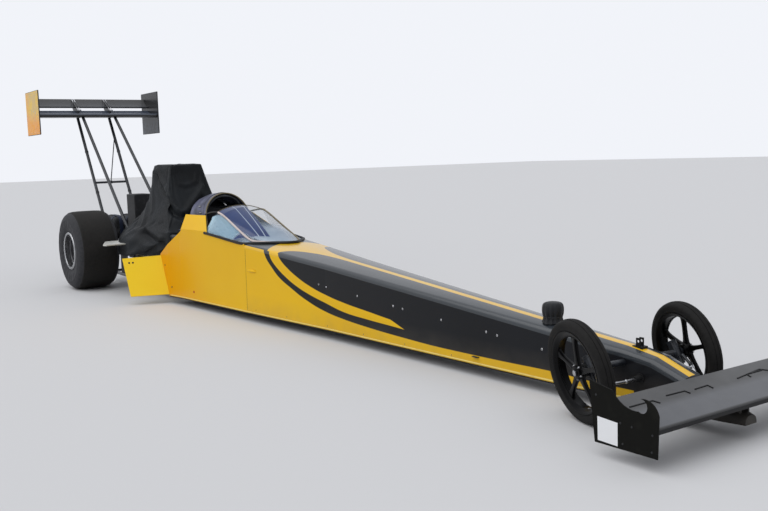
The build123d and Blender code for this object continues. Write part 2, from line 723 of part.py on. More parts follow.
def wing_struts(side, main):
    """The upright and the diagonal that carry the rear wing on one side, notched onto the rail."""
    rail = tube_run(rail_points(side, True)[:2], RAIL_R + SEAT_GAP)
    rail += tube(rail_points(side, False)[0], rail_points(side, True)[0], RAIL_R - 4 + SEAT_GAP)
    rail += Pos(*rail_points(side, True)[0]) * Sphere(RAIL_R + SEAT_GAP)
    struts = []
    for top, foot in (UPRIGHT, DIAGONAL):
        foot_point = (foot, side * between(RAILS, foot, 1), between(RAILS, foot, 2))
        bar = tube((top[0], side * WING_STRUT_Y, top[1] + 30), foot_point, STRUT_R)
        bar -= Pos(0, 0, -SEAT_GAP) * main
        bar -= block((-3000, 0), (-1000, 1000), (2150, 2600))
        bar -= rail
        struts.append(max(bar.solids(), key=lambda solid: solid.volume))
    return struts


def wing_crossbar():
    """The bar between the two upright struts, coped to their round sides."""
    foot = UPRIGHT[1]
    share = (CROSSBAR_Z - between(RAILS, foot, 2)) / (UPRIGHT[0][1] + 30 - between(RAILS, foot, 2))
    x = foot + share * (UPRIGHT[0][0] - foot)
    bar = tube((x, -WING_STRUT_Y, CROSSBAR_Z), (x, WING_STRUT_Y, CROSSBAR_Z), CROSSBAR_R)
    for side in (-1, 1):
        top = (UPRIGHT[0][0], side * WING_STRUT_Y, UPRIGHT[0][1] + 30)
        bottom = (foot, side * between(RAILS, foot, 1), between(RAILS, foot, 2))
        bar -= tube(top, bottom, STRUT_R + SEAT_GAP)
    return max(bar.solids(), key=lambda solid: solid.volume)


def front_wing_plate(side):
    """The front wing's end plate, with its scooped top edge and forward horn."""
    y_low, y_high = sorted((side * (FRONT_WING_HALF + SEAT_GAP), side * (FRONT_WING_HALF + FRONT_WING_PLATE_T)))
    front = FRONT_PLATE_FRONT
    top = ThreePointArc((front - 266, y_low, 340), (front - 224, y_low, 296), (front - 116, y_low, 270))
    inner = ThreePointArc((front - 116, y_low, 270), (front - 72, y_low, 276), (front - 106, y_low, 330))
    horn = ThreePointArc((front - 106, y_low, 330), (front - 32, y_low, 318), (front, y_low, 268))
    corners = [(front, 268), (front - 8, 74), (front - 374, 70), (front - 406, 366), (front - 266, 340)]
    rest = Polyline(*[(x, y_low, z) for x, z in corners])
    outline = make_face([top, inner, horn] + list(rest.edges()))
    return extrude(outline, amount=y_high - y_low, dir=(0, 1, 0))


def front_wing_posts(wing):
    """Two posts that stand the front wing on the nose cap."""
    posts = []
    for side in (-1, 1):
        y = side * 32
        rear, front = NOSE_CAP_REAR + 80, NOSE_CAP_REAR + 300
        post = side_profile([(rear, 150), (front, 100), (front, 190), (rear, 262)], y - 6, y + 6)
        post -= Pos(0, 0, -SEAT_GAP) * wing + Pos(0, 0, SEAT_GAP) * cap
        post -= block((NOSE_CAP_REAR, FRONT_PLATE_FRONT + 16), (-100, 100), (262, 400))
        posts.append(max(post.solids(), key=lambda solid: solid.volume))
    return posts


# Engine and cover
def plain_block(x_range, half, z_range):
    return block(x_range, (-half, half), z_range)


def cover_shell():
    """The fabric cover over the engine: open below, and cut back where chassis tubes pass through it."""
    def layer(inset, lift):
        faces = []
        for z, rear, front, half in COVER:
            corner = 70 - inset if z > 1200 else 110 - inset
            outline = RectangleRounded(front - rear - 2 * inset, 2 * (half - inset), corner)
            faces.append(Plane(((rear + front) / 2, 0, z - lift)) * outline)
        return loft(faces, ruled=True)
    shell = layer(0, 0) - layer(COVER_T, COVER_T) - layer(COVER_T, COVER_T + 15)
    shell -= block((1500, 2600), (-700, 700), (300, 780))
    for side in (-1, 1):
        shell -= tube_run(rail_points(side, True), RAIL_R + CLEARANCE)
        low, high = rail_points(side, False)[3], rail_points(side, True)[3]
        shell -= tube(low, high, RAIL_R + CLEARANCE)
        shell -= block((440, 1010), sorted((side * 200, side * 900)), (SIDE_PLATE_Z - 22, SIDE_PLATE_Z + 6))
    shell -= block((1780, 2100), (-300, 300), (300, 1120))
    return max(shell.solids(), key=lambda solid: solid.volume)


def engine_side_plate(side):
    """The bare metal plate that sticks out beside the engine, ahead of the rear tyre."""
    inner = side * (between(RAILS, 700, 1) - 22)
    points = [(500, inner), (500, side * 600), (560, side * 640), (930, side * 780), (985, side * 760), (985, inner)]
    plate = slab([(x, y, SIDE_PLATE_Z) for x, y in points], (0, 0, -1), 12)
    for x in SIDE_PLATE_LUGS:
        y = side * between(RAILS, x, 1)
        plate += block((x - 20, x + 20), (y - 7, y + 7), (SIDE_PLATE_Z - 6, between(RAILS, x, 2)))
    for upper in (False, True):
        plate -= tube_run(rail_points(side, upper)[1:3], RAIL_R + SEAT_GAP)
    plate -= tube(rail_points(side, False)[1], rail_points(side, True)[2], RAIL_R - 7 + SEAT_GAP)
    return max(plate.solids(), key=lambda solid: solid.volume)


def deflector(side):
    """The sloped plate that lifts the air over the rear tyre, with a short lip at its foot."""
    def strip(y, foot, head):
        (x_low, z_low), (x_high, z_high) = foot, head
        points = [(x_low, z_low), (x_low + SKIN, z_low), (x_high + SKIN, z_high), (x_high, z_high)]
        return make_face(Polyline(*[(x, y, z) for x, z in points], close=True))
    inner_y = -(DEFLECTOR_Y + SEAT_GAP)
    plate = loft([strip(inner_y, (1890, 96), (1712, 484)), strip(-786, (1748, 94), (1555, 468))], ruled=True)
    return plate if side < 0 else mirrored(plate)


def firewall():
    """The plate between the engine and the driver: square below, arched above."""
    x = FIREWALL_X
    half = between(RAILS, x, 1) - RAIL_R - SEAT_GAP
    low = block((x, x + 6), (-half, half), (GROUND_CLEARANCE + SEAT_GAP, 760))
    return low + extrude(arch_face(x, x, 226, 750, 1060), amount=6, dir=(1, 0, 0))


def driver_seat():
    """A bucket seat: a reclined back, a base and two side walls."""
    seat = LOWER_RAIL_Z + CROSS_R + SEAT_GAP
    back_x = HOOPS[0][0] + HOOP_R + CLEARANCE
    half = 170
    back = [(back_x, seat), (2740, seat), (2740, 250), (2390, 214), (back_x + 80, 760), (back_x, 760)]
    wall = [(back_x, seat), (2740, seat), (2740, 330), (2450, 360), (back_x + 140, 700), (back_x, 700)]
    bucket = side_profile(back, -half, half)
    return bucket + side_profile(wall, half, half + 20) + side_profile(wall, -half - 20, -half)


def steering_wheel():
    """A cut-down two-handled wheel on its hub."""
    rim = Torus(118, 11) - Pos(0, 100, 0) * Box(150, 110, 40) - Pos(0, -100, 0) * Box(150, 110, 40)
    bar = Box(236, 26, 12)
    hub = Cylinder(30, 34)
    wheel = rim + bar + hub - Cylinder(COLUMN_R + RUNNING_GAP, 200)
    return Plane(WHEEL_CENTRE, x_dir=(0, 1, 0), z_dir=COLUMN_DIR) * Rot(0, 0, -PARKED_TURN * WHEEL_RATIO) * wheel


def steering_column():
    """The shaft of the steering wheel, with a collar on each side of its hub, in the dash."""
    away = Vector(*COLUMN_DIR)
    end = Vector(*WHEEL_CENTRE) + away * 26
    start = Vector(*WHEEL_CENTRE) - away * 322
    shaft = tube(tuple(start), tuple(end), COLUMN_R)
    for low, high in ((17.5, 25), (-17.5, -26)):
        collar = Vector(*WHEEL_CENTRE) + away * low, Vector(*WHEEL_CENTRE) + away * high
        shaft += tube(tuple(collar[0]), tuple(collar[1]), COLUMN_R + 8)
    return shaft


def dash_panel():
    """The plate under the windshield that carries the steering column, seated between the rails."""
    half = between(RAILS, 3250, 1) - RAIL_R - SEAT_GAP
    plate = block((3246, 3256), (-half, half), (480, 672))
    away = Vector(*COLUMN_DIR)
    plate -= tube(tuple(Vector(*WHEEL_CENTRE) - away * 500), tuple(Vector(*WHEEL_CENTRE)), COLUMN_R + SEAT_GAP)
    for side in (-1, 1):
        plate -= tube(*rail_points(side, True)[-2:], RAIL_R + SEAT_GAP)
    return plate


def chute_pack(side):
    """A packed parachute in its bag, on the shelf behind the axle."""
    return block((-930, -440), sorted((side * 14, side * (CHUTE_HALF - 4))), (CHUTE_SHELF_Z + SHELF_T + SEAT_GAP, 800))


def chute_tray():
    """The shelf under the parachute packs, on the rear cross tube of the chassis."""
    return block((-940, -430), (-CHUTE_HALF, CHUTE_HALF), (CHUTE_SHELF_Z, CHUTE_SHELF_Z + SHELF_T))


def breather_tank():
    """The black tank that stands on the case of the rear axle."""
    case_top = REAR_AXLE_Z + AXLE_CASE_HALF
    tank = block((-170, 110), (-104, 104), (case_top + SEAT_GAP, 1082))
    return fillet(tank.edges(), 14)


def fuel_filler():
    """The filler neck on the nose, under its black cover."""
    x, y = FILLER_X, FILLER_Y
    top = between(BODY, x, 2) + between(BODY, x, 3)
    neck = tube((x, y, top - 40), (x, y, top + 78), 44)
    neck += tube((x, y, top + 58), (x, y, top + 118), 56)
    neck -= Pos(0, 0, SEAT_GAP) * hood
    return max(neck.solids(), key=lambda solid: solid.center().Z)


def tow_bracket():
    """Two ears with a cross hole on the top of the nose."""
    x = TOW_BRACKET_X
    top = between(BODY, x, 2) + between(BODY, x, 3)
    plate = block((x - 34, x + 34), (-24, 24), (top - 6, top + 8)) - Pos(0, 0, SEAT_GAP) * hood
    for y in (-17, 11):
        plate += block((x - 14, x + 14), (y, y + 6), (top + 6, top + 52))
    plate -= tube((x, -60, top + 34), (x, 60, top + 34), TOW_HOLE_R)
    return max(plate.solids(), key=lambda solid: solid.volume)


ARM_END = KINGPIN * -ARM_DROP + FORWARD_ARM * ARM_LENGTH
ROD_X = (rod_eye(-1).X + rod_eye(1).X) / 2
ROD_Z = (rod_eye(-1).Z + rod_eye(1).Z) / 2
SIDES = (-1, 1)

front_side, cockpit_side = side_panels()
for name, panel in (("right", front_side), ("left", mirrored(front_side))):
    write(f"{name}_nose_side", panel - tube(*axle_ends(), AXLE_BEAM_R + SEAT_GAP))
write_pair("cockpit_side", cockpit_side)
cowl, hood = top_panels()
cap = nose_cap()
write("cockpit_cowl", cowl)
write("hood", hood)
write("nose_cap", cap)
write("belly_pan", belly_pan())
write("cockpit_shroud", cockpit_shroud())
write("windshield", windshield())
write("chassis_frame", chassis_side(-1), chassis_side(1), *chassis_cross_tubes())
write("roll_cage", roll_cage())
write("firewall", firewall())
write("driver_seat", driver_seat())
write("dash_panel", dash_panel())
write("steering_column", steering_column())
write("steering_wheel", steering_wheel())
write("engine_block", plain_block(*ENGINE_BLOCK) + plain_block(*BLOWER_BLOCK) + plain_block(*SCOOP_BLOCK))
write("engine_cover", cover_shell())
write("engine_side_plates", *[engine_side_plate(side) for side in SIDES])
write("rear_deflectors", *[deflector(side) for side in SIDES])

write("rear_axle_housing", axle_housing(), *axle_stays())
write("rear_axle_shaft", axle_shaft())
write("rear_brake_discs", *[brake_disc(side) for side in SIDES])
write("rear_brake_calipers", *[brake_caliper(side) for side in SIDES])
write("rear_rims", *[placed_rear(rear_rim(), side) for side in SIDES])
write("rear_tyres", *[placed_rear(rear_tyre(), side) for side in SIDES])
for name, side in (("right", -1), ("left", 1)):
    write(f"{name}_front_tyre", turned(front_tyre(), wheel_centre(side)))
    write(f"{name}_front_rim", turned(front_rim(), wheel_centre(side)))
    write(f"{name}_knuckle", turned(knuckle(side), kingpin_centre(side)))
write("rack_boots", *[rack_boot(side) for side in SIDES])
write("parachute_packs", *[chute_pack(side) for side in SIDES])
write("rear_wing_plates", *[rear_wing_plate(side) for side in SIDES])
write("front_wing_plates", *[front_wing_plate(side) for side in SIDES])
write("front_axle", front_axle())
write("steering_rack", steering_rack())
write("chute_tray", chute_tray())
write("breather_tank", breather_tank())

elements = {}
for name, row in WING_ELEMENTS.items():
    elements[name] = foil(*row, -WING_HALF_SPAN, WING_HALF_SPAN)
    write(name, elements[name])
supports = [wing_bracket(side * WING_STRUT_Y, elements.values()) for side in SIDES]
for side in SIDES:
    supports += wing_struts(side, elements["rear_wing_main"])
supports.append(wing_crossbar())
write("rear_wing_supports", *supports)
front_wing = foil(FRONT_WING_FRONT, FRONT_WING_FRONT_Z, FRONT_WING_REAR, FRONT_WING_REAR_Z,
                  FRONT_WING_T, -FRONT_WING_HALF, FRONT_WING_HALF, sag=0.0)
write("front_wing", front_wing)
write("front_wing_posts", *front_wing_posts(front_wing))
write("fuel_filler", fuel_filler())
write("tow_bracket", tow_bracket())

print("front axle height", round(FRONT_AXLE_Z, 2), "rod", round(ROD_X, 1), round(ROD_Z, 1))
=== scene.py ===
# %% [markdown]
# # The looks of a long drag racing car
# The car is about ten metres long and knee high at the nose. Its shape is already fixed by the
# imported model, so this lesson adds what a drawing of solids lacks: paint, cloth, rubber, bolts
# and small trim. The imported model is loaded first.

# %% Load the imported car
from math import atan2, cos, pi, radians, sin

import bmesh
import bpy
from mathutils import Matrix, Vector


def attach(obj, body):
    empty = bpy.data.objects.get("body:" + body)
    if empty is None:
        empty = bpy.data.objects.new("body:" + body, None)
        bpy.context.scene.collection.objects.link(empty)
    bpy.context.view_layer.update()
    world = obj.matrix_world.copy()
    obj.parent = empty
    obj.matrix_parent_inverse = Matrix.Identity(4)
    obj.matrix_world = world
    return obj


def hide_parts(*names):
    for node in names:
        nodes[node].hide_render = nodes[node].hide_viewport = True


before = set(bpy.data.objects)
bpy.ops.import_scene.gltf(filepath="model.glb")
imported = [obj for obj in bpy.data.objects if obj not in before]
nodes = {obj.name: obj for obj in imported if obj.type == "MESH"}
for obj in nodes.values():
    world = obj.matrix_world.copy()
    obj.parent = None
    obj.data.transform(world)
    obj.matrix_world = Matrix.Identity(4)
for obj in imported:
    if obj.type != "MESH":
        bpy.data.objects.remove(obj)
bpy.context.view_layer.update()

# %% [markdown]
# Every place below is written as a distance ahead of the rear axle, to the car's left, and above
# the ground, because that is how such a car is measured. The model's origin is under the middle
# of its outline instead, so one small function shifts a place into the model's frame.

# %% Places along the car
AXLE_X = -3.264


def at(x, y, z):
    """A place given from the rear axle, in the model's own frame."""
    return Vector((x + AXLE_X, y, z))


SIDES = (-1, 1)
SIDE_NAMES = {-1: "right", 1: "left"}


def placed(name, data):
    """Put a camera, a lamp or a mesh into the scene."""
    made = bpy.data.objects.new(name, data)
    bpy.context.scene.collection.objects.link(made)
    return made


def mesh_of(name, bm):
    """Turn a bmesh, which isn't needed afterwards, into a mesh."""
    mesh = bpy.data.meshes.new(name)
    bm.to_mesh(mesh)
    bm.free()
    return mesh


# %% [markdown]
# The photographer stood ahead of the right front wheel and looked back along the car. The camera is
# described by its place and three turns: yaw, pitch and a small roll. Its three directions make
# the columns of a matrix, which avoids any guesswork about the order of Euler angles.

# %% Camera at the photograph's place
YAW, PITCH, ROLL = (radians(angle) for angle in (55.4117, -6.1703, -1.8425))
CAMERA_PLACE = (10.9553, -3.9626, 1.4478)
LENS = 43.228
forward = Vector((-sin(YAW) * cos(PITCH), cos(YAW) * cos(PITCH), sin(PITCH)))
level = Vector((cos(YAW), sin(YAW), 0))
raised = level.cross(forward)
right = level * cos(ROLL) + raised * sin(ROLL)
up = raised * cos(ROLL) - level * sin(ROLL)

camera_data = bpy.data.cameras.new("camera")
camera_data.sensor_width = 36
camera_data.lens = LENS
camera_data.clip_end = 400
camera = placed("camera", camera_data)
turn = Matrix((right, up, -forward)).transposed().to_4x4()
camera.matrix_world = Matrix.Translation(at(*CAMERA_PLACE)) @ turn
bpy.context.scene.camera = camera
print("camera", [round(value, 3) for value in camera.location])

# %% [markdown]
# Materials are built from nodes. Adding nodes one by one hides the idea behind a formula, so a
# small class wraps the output of a node: adding or comparing two of them makes the Math node
# that does it. A second class holds one material and makes every other kind of node.


# %% A socket that can be used in sums
class Socket:
    """The output of a node, which can be used in sums as if it were a number."""

    def __init__(self, finish, output):
        self.finish = finish
        self.output = output

    def maths(self, operation, first, second, clamp=False):
        settings = {"operation": operation, "use_clamp": clamp}
        return self.finish.node("ShaderNodeMath", settings, {0: first, 1: second})

    def __add__(self, other):
        return self.maths("ADD", self, other)

    def __radd__(self, other):
        return self.maths("ADD", other, self)

    def __sub__(self, other):
        return self.maths("SUBTRACT", self, other)

    def __rsub__(self, other):
        return self.maths("SUBTRACT", other, self)

    def __mul__(self, other):
        return self.maths("MULTIPLY", self, other)

    def __rmul__(self, other):
        return self.maths("MULTIPLY", other, self)

    def __abs__(self):
        return self.maths("ABSOLUTE", self, 0)

    def over(self, edge, width):
        """0 below an edge and 1 above it, with a soft step of a given width."""
        return self.maths("ADD", (self - edge) * (1 / width), 0.5, clamp=True)

    def under(self, edge, width):
        """1 below an edge and 0 above it."""
        return 1 - self.over(edge, width)

    def limited(self):
        """The same value, kept between 0 and 1."""
        return self.maths("ADD", self, 0, clamp=True)


# %% A finish: one material and its nodes
def colour(red, green, blue):
    """A colour written as on a screen, 0 to 255, in the linear values that Blender wants."""
    return tuple((value / 255 / 12.92 if value < 10.3 else ((value / 255 + 0.055) / 1.055) ** 2.4)
                 for value in (red, green, blue)) + (1,)


class Finish:
    """A material, with the place of each point in the car's frame ready to use."""

    def __init__(self, name, base, roughness, metallic=0.0, coat=0.0, shine=0.4):
        self.material = bpy.data.materials.new(name)
        self.material.use_nodes = True
        self.tree = self.material.node_tree
        self.shader = self.tree.nodes["Principled BSDF"]
        self.surface("Base Color", base)
        self.surface("Roughness", roughness)
        self.surface("Metallic", metallic)
        self.surface("Coat Weight", coat)
        self.surface("Specular IOR Level", shine)
        self.shader.inputs["Coat Roughness"].default_value = 0.12
        self.place = self.node("ShaderNodeTexCoord", output="Object")
        self.x, self.y, self.z = (
            self.node("ShaderNodeSeparateXYZ", inputs={0: self.place}, output=axis) for axis in range(3))

    def feed(self, socket, value):
        """Link a socket, or write a plain value in it."""
        if isinstance(value, Socket):
            self.tree.links.new(value.output, socket)
        else:
            socket.default_value = value

    def surface(self, name, value):
        """Feed one of the surface shader's inputs."""
        self.feed(self.shader.inputs[name], value)

    def paint(self, share, first, second):
        """Let the surface's colour be a mix of two others."""
        self.surface("Base Color", self.mix(share, first, second))

    def node(self, kind, settings=None, inputs=None, output=0):
        """Make a node of a kind, set it up, then link or fill its sockets."""
        made = self.tree.nodes.new(kind)
        for name, value in (settings or {}).items():
            if name == "curve":
                points = made.mapping.curves[0].points
                for place in value[2:]:
                    points.new(*place)
                for point, place in zip(sorted(points, key=lambda p: p.location[0]), sorted(value)):
                    point.location = place
                    point.handle_type = "AUTO_CLAMPED"
                made.mapping.update()
            else:
                setattr(made, name, value)
        for key, value in (inputs or {}).items():
            self.feed(made.inputs[key], value)
        return Socket(self, made.outputs[output])

    def maths_of(self, operation, value):
        """One of the Math node's functions of a single value, such as a sine."""
        return self.node("ShaderNodeMath", {"operation": operation}, {0: value})

    def mix(self, share, first, second):
        """A colour between two others."""
        return self.node("ShaderNodeMix", {"data_type": "RGBA"}, {0: share, 6: first, 7: second}, 2)

    def noise(self, scale, detail=3.0, stretch=(1, 1, 1), seed=0.0):
        """Cloudy values between 0 and 1; stretch squeezes them along an axis."""
        where = self.node("ShaderNodeMapping", inputs={0: self.place, 1: (seed, seed, seed), 3: stretch})
        return self.node("ShaderNodeTexNoise", inputs={"Vector": where, "Scale": scale, "Detail": detail})

    def line(self, curve, low, high):
        """A drawn curve over the car's length: heights at distances ahead of the rear axle."""
        share = (self.x - (low + AXLE_X)) * (1 / (high - low))
        points = [((x - low) / (high - low), height) for x, height in curve]
        return self.node("ShaderNodeFloatCurve", {"curve": points}, {1: share})

    def facing(self, axis):
        """How far the surface faces along an axis: 1 straight towards it, -1 away from it."""
        normal = self.node("ShaderNodeTexCoord", output=1)
        return self.node("ShaderNodeSeparateXYZ", inputs={0: normal}, output=axis)

    def bump(self, height, distance, strength=1.0):
        """Small relief from a height between 0 and 1, distance in metres."""
        relief = {"Height": height, "Distance": distance, "Strength": strength}
        self.surface("Normal", self.node("ShaderNodeBump", inputs=relief))


# %% [markdown]
# The studio is plain: a pale floor that reaches the horizon, an even world, and one broad soft
# lamp for a shadow that tells where the car stands. The world is almost white to the camera only.
# It lights the car less, and shiny paint mirrors a paler horizon than matt paint is lit by.

# %% Floor, world and lamp
floor_bm = bmesh.new()
bmesh.ops.create_grid(floor_bm, x_segments=1, y_segments=1, size=90)
floor = placed("floor", mesh_of("floor", floor_bm))
floor_finish = Finish("floor_paint", colour(205, 205, 206), 0.85)
floor.data.materials.append(floor_finish.material)

world = bpy.data.worlds.new("studio")
bpy.context.scene.world = world
world.use_nodes = True
sky = world.node_tree
HORIZON_LIT, HORIZON_MIRRORED, ZENITH, TO_THE_CAMERA = 0.36, 0.7, 0.84, 0.95


def between_values(share, low, high):
    """A value of the sky between two others, each a number or another node's output."""
    made = sky.nodes.new("ShaderNodeMapRange")
    sky.links.new(share, made.inputs["Value"])
    for name, value in (("To Min", low), ("To Max", high)):
        if isinstance(value, float):
            made.inputs[name].default_value = value
        else:
            sky.links.new(value, made.inputs[name])
    return made.outputs["Result"]


ray = sky.nodes.new("ShaderNodeLightPath")
seen = sky.nodes.new("ShaderNodeMath")
seen.operation = "MAXIMUM"
sky.links.new(ray.outputs["Is Camera Ray"], seen.inputs[0])
sky.links.new(ray.outputs["Is Transmission Ray"], seen.inputs[1])
direction = sky.nodes.new("ShaderNodeTexCoord")
height = sky.nodes.new("ShaderNodeSeparateXYZ")
sky.links.new(direction.outputs["Generated"], height.inputs[0])
horizon = between_values(ray.outputs["Is Glossy Ray"], HORIZON_LIT, HORIZON_MIRRORED)
dome_light = between_values(height.outputs["Z"], horizon, ZENITH)
backdrop = sky.nodes["Background"]
backdrop.inputs["Color"].default_value = (0.93, 0.95, 1.0, 1)
sky.links.new(between_values(seen.outputs[0], dome_light, TO_THE_CAMERA), backdrop.inputs["Strength"])

sun_data = bpy.data.lights.new("soft_lamp", "SUN")
sun_data.energy = 1.45
sun_data.angle = radians(75)
placed("soft_lamp", sun_data).rotation_euler = (radians(32), radians(-14), radians(12))
bpy.context.scene.view_settings.view_transform = "Standard"
print("studio ready")

# %% [markdown]
# The body is sprayed yellow and black. On each side a black field runs from the cockpit to the
# nose, a curved yellow band points into it, a thin black line follows below, and yellow returns
# along the bottom. The three edges are drawn once as curves of height over length. One value for
# "black" then mixes two paints, so both sides of an edge share the same gloss coat.

# %% The livery's curves
BAND_EDGE = [(3.7, 0.79), (3.745, 0.715), (3.79, 0.66), (3.827, 0.6), (3.912, 0.526), (4.039, 0.439),
             (4.206, 0.37), (4.409, 0.296), (4.702, 0.224), (4.962, 0.193), (5.25, 0.172), (5.653, 0.153),
             (6.19, 0.14), (6.667, 0.141), (7.094, 0.146), (7.45, 0.138), (7.7, 0.14)]
STRIPE_EDGE = [(3.7, 0.99), (3.84, 0.72), (3.873, 0.664), (3.907, 0.599), (3.991, 0.532), (4.127, 0.459),
               (4.272, 0.4), (4.454, 0.347), (4.707, 0.294), (4.965, 0.25), (5.25, 0.232), (5.633, 0.216),
               (7.7, 0.1)]
FIELD_EDGE = [(3.7, 1.0), (3.97, 0.74), (4.012, 0.654), (4.052, 0.603), (4.155, 0.538), (4.299, 0.473),
              (4.478, 0.413), (4.711, 0.36), (4.971, 0.322), (5.25, 0.294), (5.58, 0.262), (7.7, 0.1)]
TOP_STRIPE = [(3.9, 0.45), (3.985, 0.4), (4.0, 0.266), (4.04, 0.2), (4.13, 0.138), (4.265, 0.09),
              (4.4, 0.057), (4.55, 0.037), (4.75, 0.026), (8.2, 0.024)]
YELLOW = colour(224, 172, 4)
# Orange yellow, used for a painted dark reflection on the cockpit sides.
YELLOW_IN_PAINTED_DARK_REFLECTION = colour(226, 146, 4)
YELLOW_PALE = colour(236, 190, 14)
BLACK = colour(12, 13, 16)
BLACK_FADED = colour(26, 28, 33)
DUST = colour(120, 112, 98)
PAINT_EDGE = 0.004


# %% Two gloss paints in one finish
def side_black(finish):
    """1 where the side of the car is black, 0 where it is yellow."""
    above_band, above_stripe, above_field = (
        finish.z.over(finish.line(edge, 3.7, 7.7), PAINT_EDGE)
        for edge in (BAND_EDGE, STRIPE_EDGE, FIELD_EDGE))
    tip = (finish.x + finish.z * 3.0).under(6.337 + AXLE_X, 0.01)
    upper_band = above_stripe * (1 - above_field) * tip
    past_band = finish.x.over(7.69 + AXLE_X, PAINT_EDGE)
    return (above_band * (1 - upper_band) + past_band).limited()


def top_black(finish):
    """1 where the top is black: beside the middle stripe, and around the foot of the windshield."""
    beside = abs(finish.y + 0.012).over(finish.line(TOP_STRIPE, 3.9, 8.2), PAINT_EDGE)
    seal = (finish.x - finish.y * finish.y * 1.45).under(3.728 + AXLE_X, PAINT_EDGE)
    return (beside + seal).limited()


def yellow_coat(finish):
    """Yellow that is paler in soft clouds."""
    return finish.mix(finish.noise(1.3, 2.0), YELLOW, YELLOW_PALE)


def black_coat(finish, deep=BLACK, faded=BLACK_FADED):
    """Black that is faded in soft clouds."""
    return finish.mix(finish.noise(0.9, 2.0, seed=4.0), deep, faded)


def lacquer(name, coat=0.1):
    """Clear lacquer over a colour that is painted afterwards, with faint orange peel, and how much
    dust lies low down on it."""
    finish = Finish(name, YELLOW, 0.36, coat=coat, shine=0.14)
    dust = finish.noise(9.0, 5.0) * finish.z.under(0.16, 0.2) * 0.35
    finish.surface("Roughness", 0.32 + 0.1 * finish.noise(60.0, 3.0) + 0.5 * dust)
    finish.bump(finish.noise(420.0, 1.0), 0.0003, 0.25)
    return finish, dust


side_paint, dust = lacquer("side_paint")
side_colour = side_paint.mix(side_black(side_paint), yellow_coat(side_paint), black_coat(side_paint))
side_paint.paint(dust, side_colour, DUST)
top_paint, _ = lacquer("top_paint", coat=0.9)
top_paint.shader.inputs["Coat Roughness"].default_value = 0.2
facing_up = top_paint.facing(2).over(0.62, 0.06)
top_mask = facing_up * top_black(top_paint) + (1 - facing_up) * side_black(top_paint)
# The black on the hood and cowl is paler and bluer than on the sides: partly the black paint, partly a
# painted reflection of the sky.
black_with_painted_reflection = black_coat(top_paint, colour(30, 34, 38), colour(56, 62, 68))
top_paint.paint(top_mask, yellow_coat(top_paint), black_with_painted_reflection)
black_paint, dust = lacquer("black_paint")
black_paint.paint(dust, black_coat(black_paint), DUST)
print("livery on", len(side_paint.tree.nodes), "and", len(top_paint.tree.nodes), "nodes")

# %% [markdown]
# The rest of the car is rubber, cloth, bare metal and satin paint. Each finish gets the variation
# the real one shows at its own scale: dust and scuffs on the tyres, a weave on the cover, brushed
# lines on sheet metal, and rubbed patches on the tubes.


# %% Satin and gloss coatings
def satin(name, base, worn, roughness=0.42, coat=0.0, shine=0.3):
    """Powder coat: slightly uneven, a little paler where it is rubbed."""
    finish = Finish(name, base, roughness, coat=coat, shine=shine)
    cloud = finish.noise(14.0, 4.0)
    rubbed = cloud.over(0.62, 0.15) * 0.6
    finish.paint(rubbed, base, worn)
    finish.surface("Roughness", roughness + 0.16 * (cloud - 0.5))
    finish.bump(finish.noise(240.0, 2.0), 0.0002, 0.12)
    return finish


frame_paint = satin("frame_paint", colour(30, 33, 38), colour(66, 71, 78), 0.38, 0.3)
wheel_black = satin("wheel_black", colour(3, 3, 4), colour(10, 10, 11), 0.3, shine=0.12)
axle_case = satin("axle_case", colour(26, 27, 29), colour(58, 58, 60), 0.5)
trim_black = satin("trim_black", colour(14, 14, 16), colour(32, 32, 35), 0.5)
white_sticker = satin("white_sticker", colour(232, 233, 235), colour(212, 213, 216), 0.35)
# Pale beige, used as a painted highlight along the windshield's crease.
crease_painted_highlight = satin("crease_painted_highlight", colour(206, 192, 188), colour(178, 163, 158), 0.4)
red_button = satin("red_button", colour(170, 30, 20), colour(120, 26, 18), 0.35)


# %% Bare metals
def metal(name, base, dull, roughness, stretch=(1, 1, 1)):
    """Bare metal with fine lines drawn along one axis, and dull handled patches."""
    finish = Finish(name, base, roughness, metallic=1.0)
    patches = finish.noise(7.0, 3.0).over(0.5, 0.4)
    lines = finish.noise(40.0, 4.0, stretch)
    finish.paint(patches, base, dull)
    finish.surface("Roughness", roughness + 0.14 * patches + 0.12 * (lines - 0.5))
    finish.bump(lines, 0.0002, 0.35)
    return finish


sheet_aluminium = metal("sheet_aluminium", colour(236, 236, 230), colour(214, 213, 206), 0.42, (1, 12, 1))
wheel_metal = metal("wheel_metal", colour(205, 206, 208), colour(150, 150, 152), 0.22, (1, 9, 1))
bright_steel = metal("bright_steel", colour(208, 209, 212), colour(160, 160, 162), 0.2)
engine_metal = metal("engine_metal", colour(140, 141, 143), colour(92, 92, 94), 0.45)
brake_steel = metal("brake_steel", colour(120, 116, 112), colour(84, 78, 72), 0.4, (9, 1, 9))


# %% Rubber
def rubber(name, base, dusty, roughness, shine=0.25):
    """Tyre rubber: grey scuffs in cloudy bands, and a fine grain."""
    finish = Finish(name, base, roughness, shine=shine)
    scuffs = (finish.noise(5.0, 5.0) * 0.6 + finish.noise(38.0, 4.0) * 0.5).over(0.58, 0.4)
    finish.paint(scuffs, base, dusty)
    finish.surface("Roughness", roughness + 0.12 * scuffs)
    finish.bump(finish.noise(260.0, 4.0), 0.0008, 0.35)
    return finish


slick_rubber = rubber("slick_rubber", colour(26, 25, 24), colour(43, 41, 39), 0.74)
wall_rubber = rubber("wall_rubber", colour(37, 38, 41), colour(62, 62, 65), 0.62)
front_rubber = rubber("front_rubber", colour(24, 24, 24), colour(40, 39, 38), 0.66, 0.12)
boot_rubber = rubber("boot_rubber", colour(20, 20, 21), colour(38, 38, 39), 0.6)


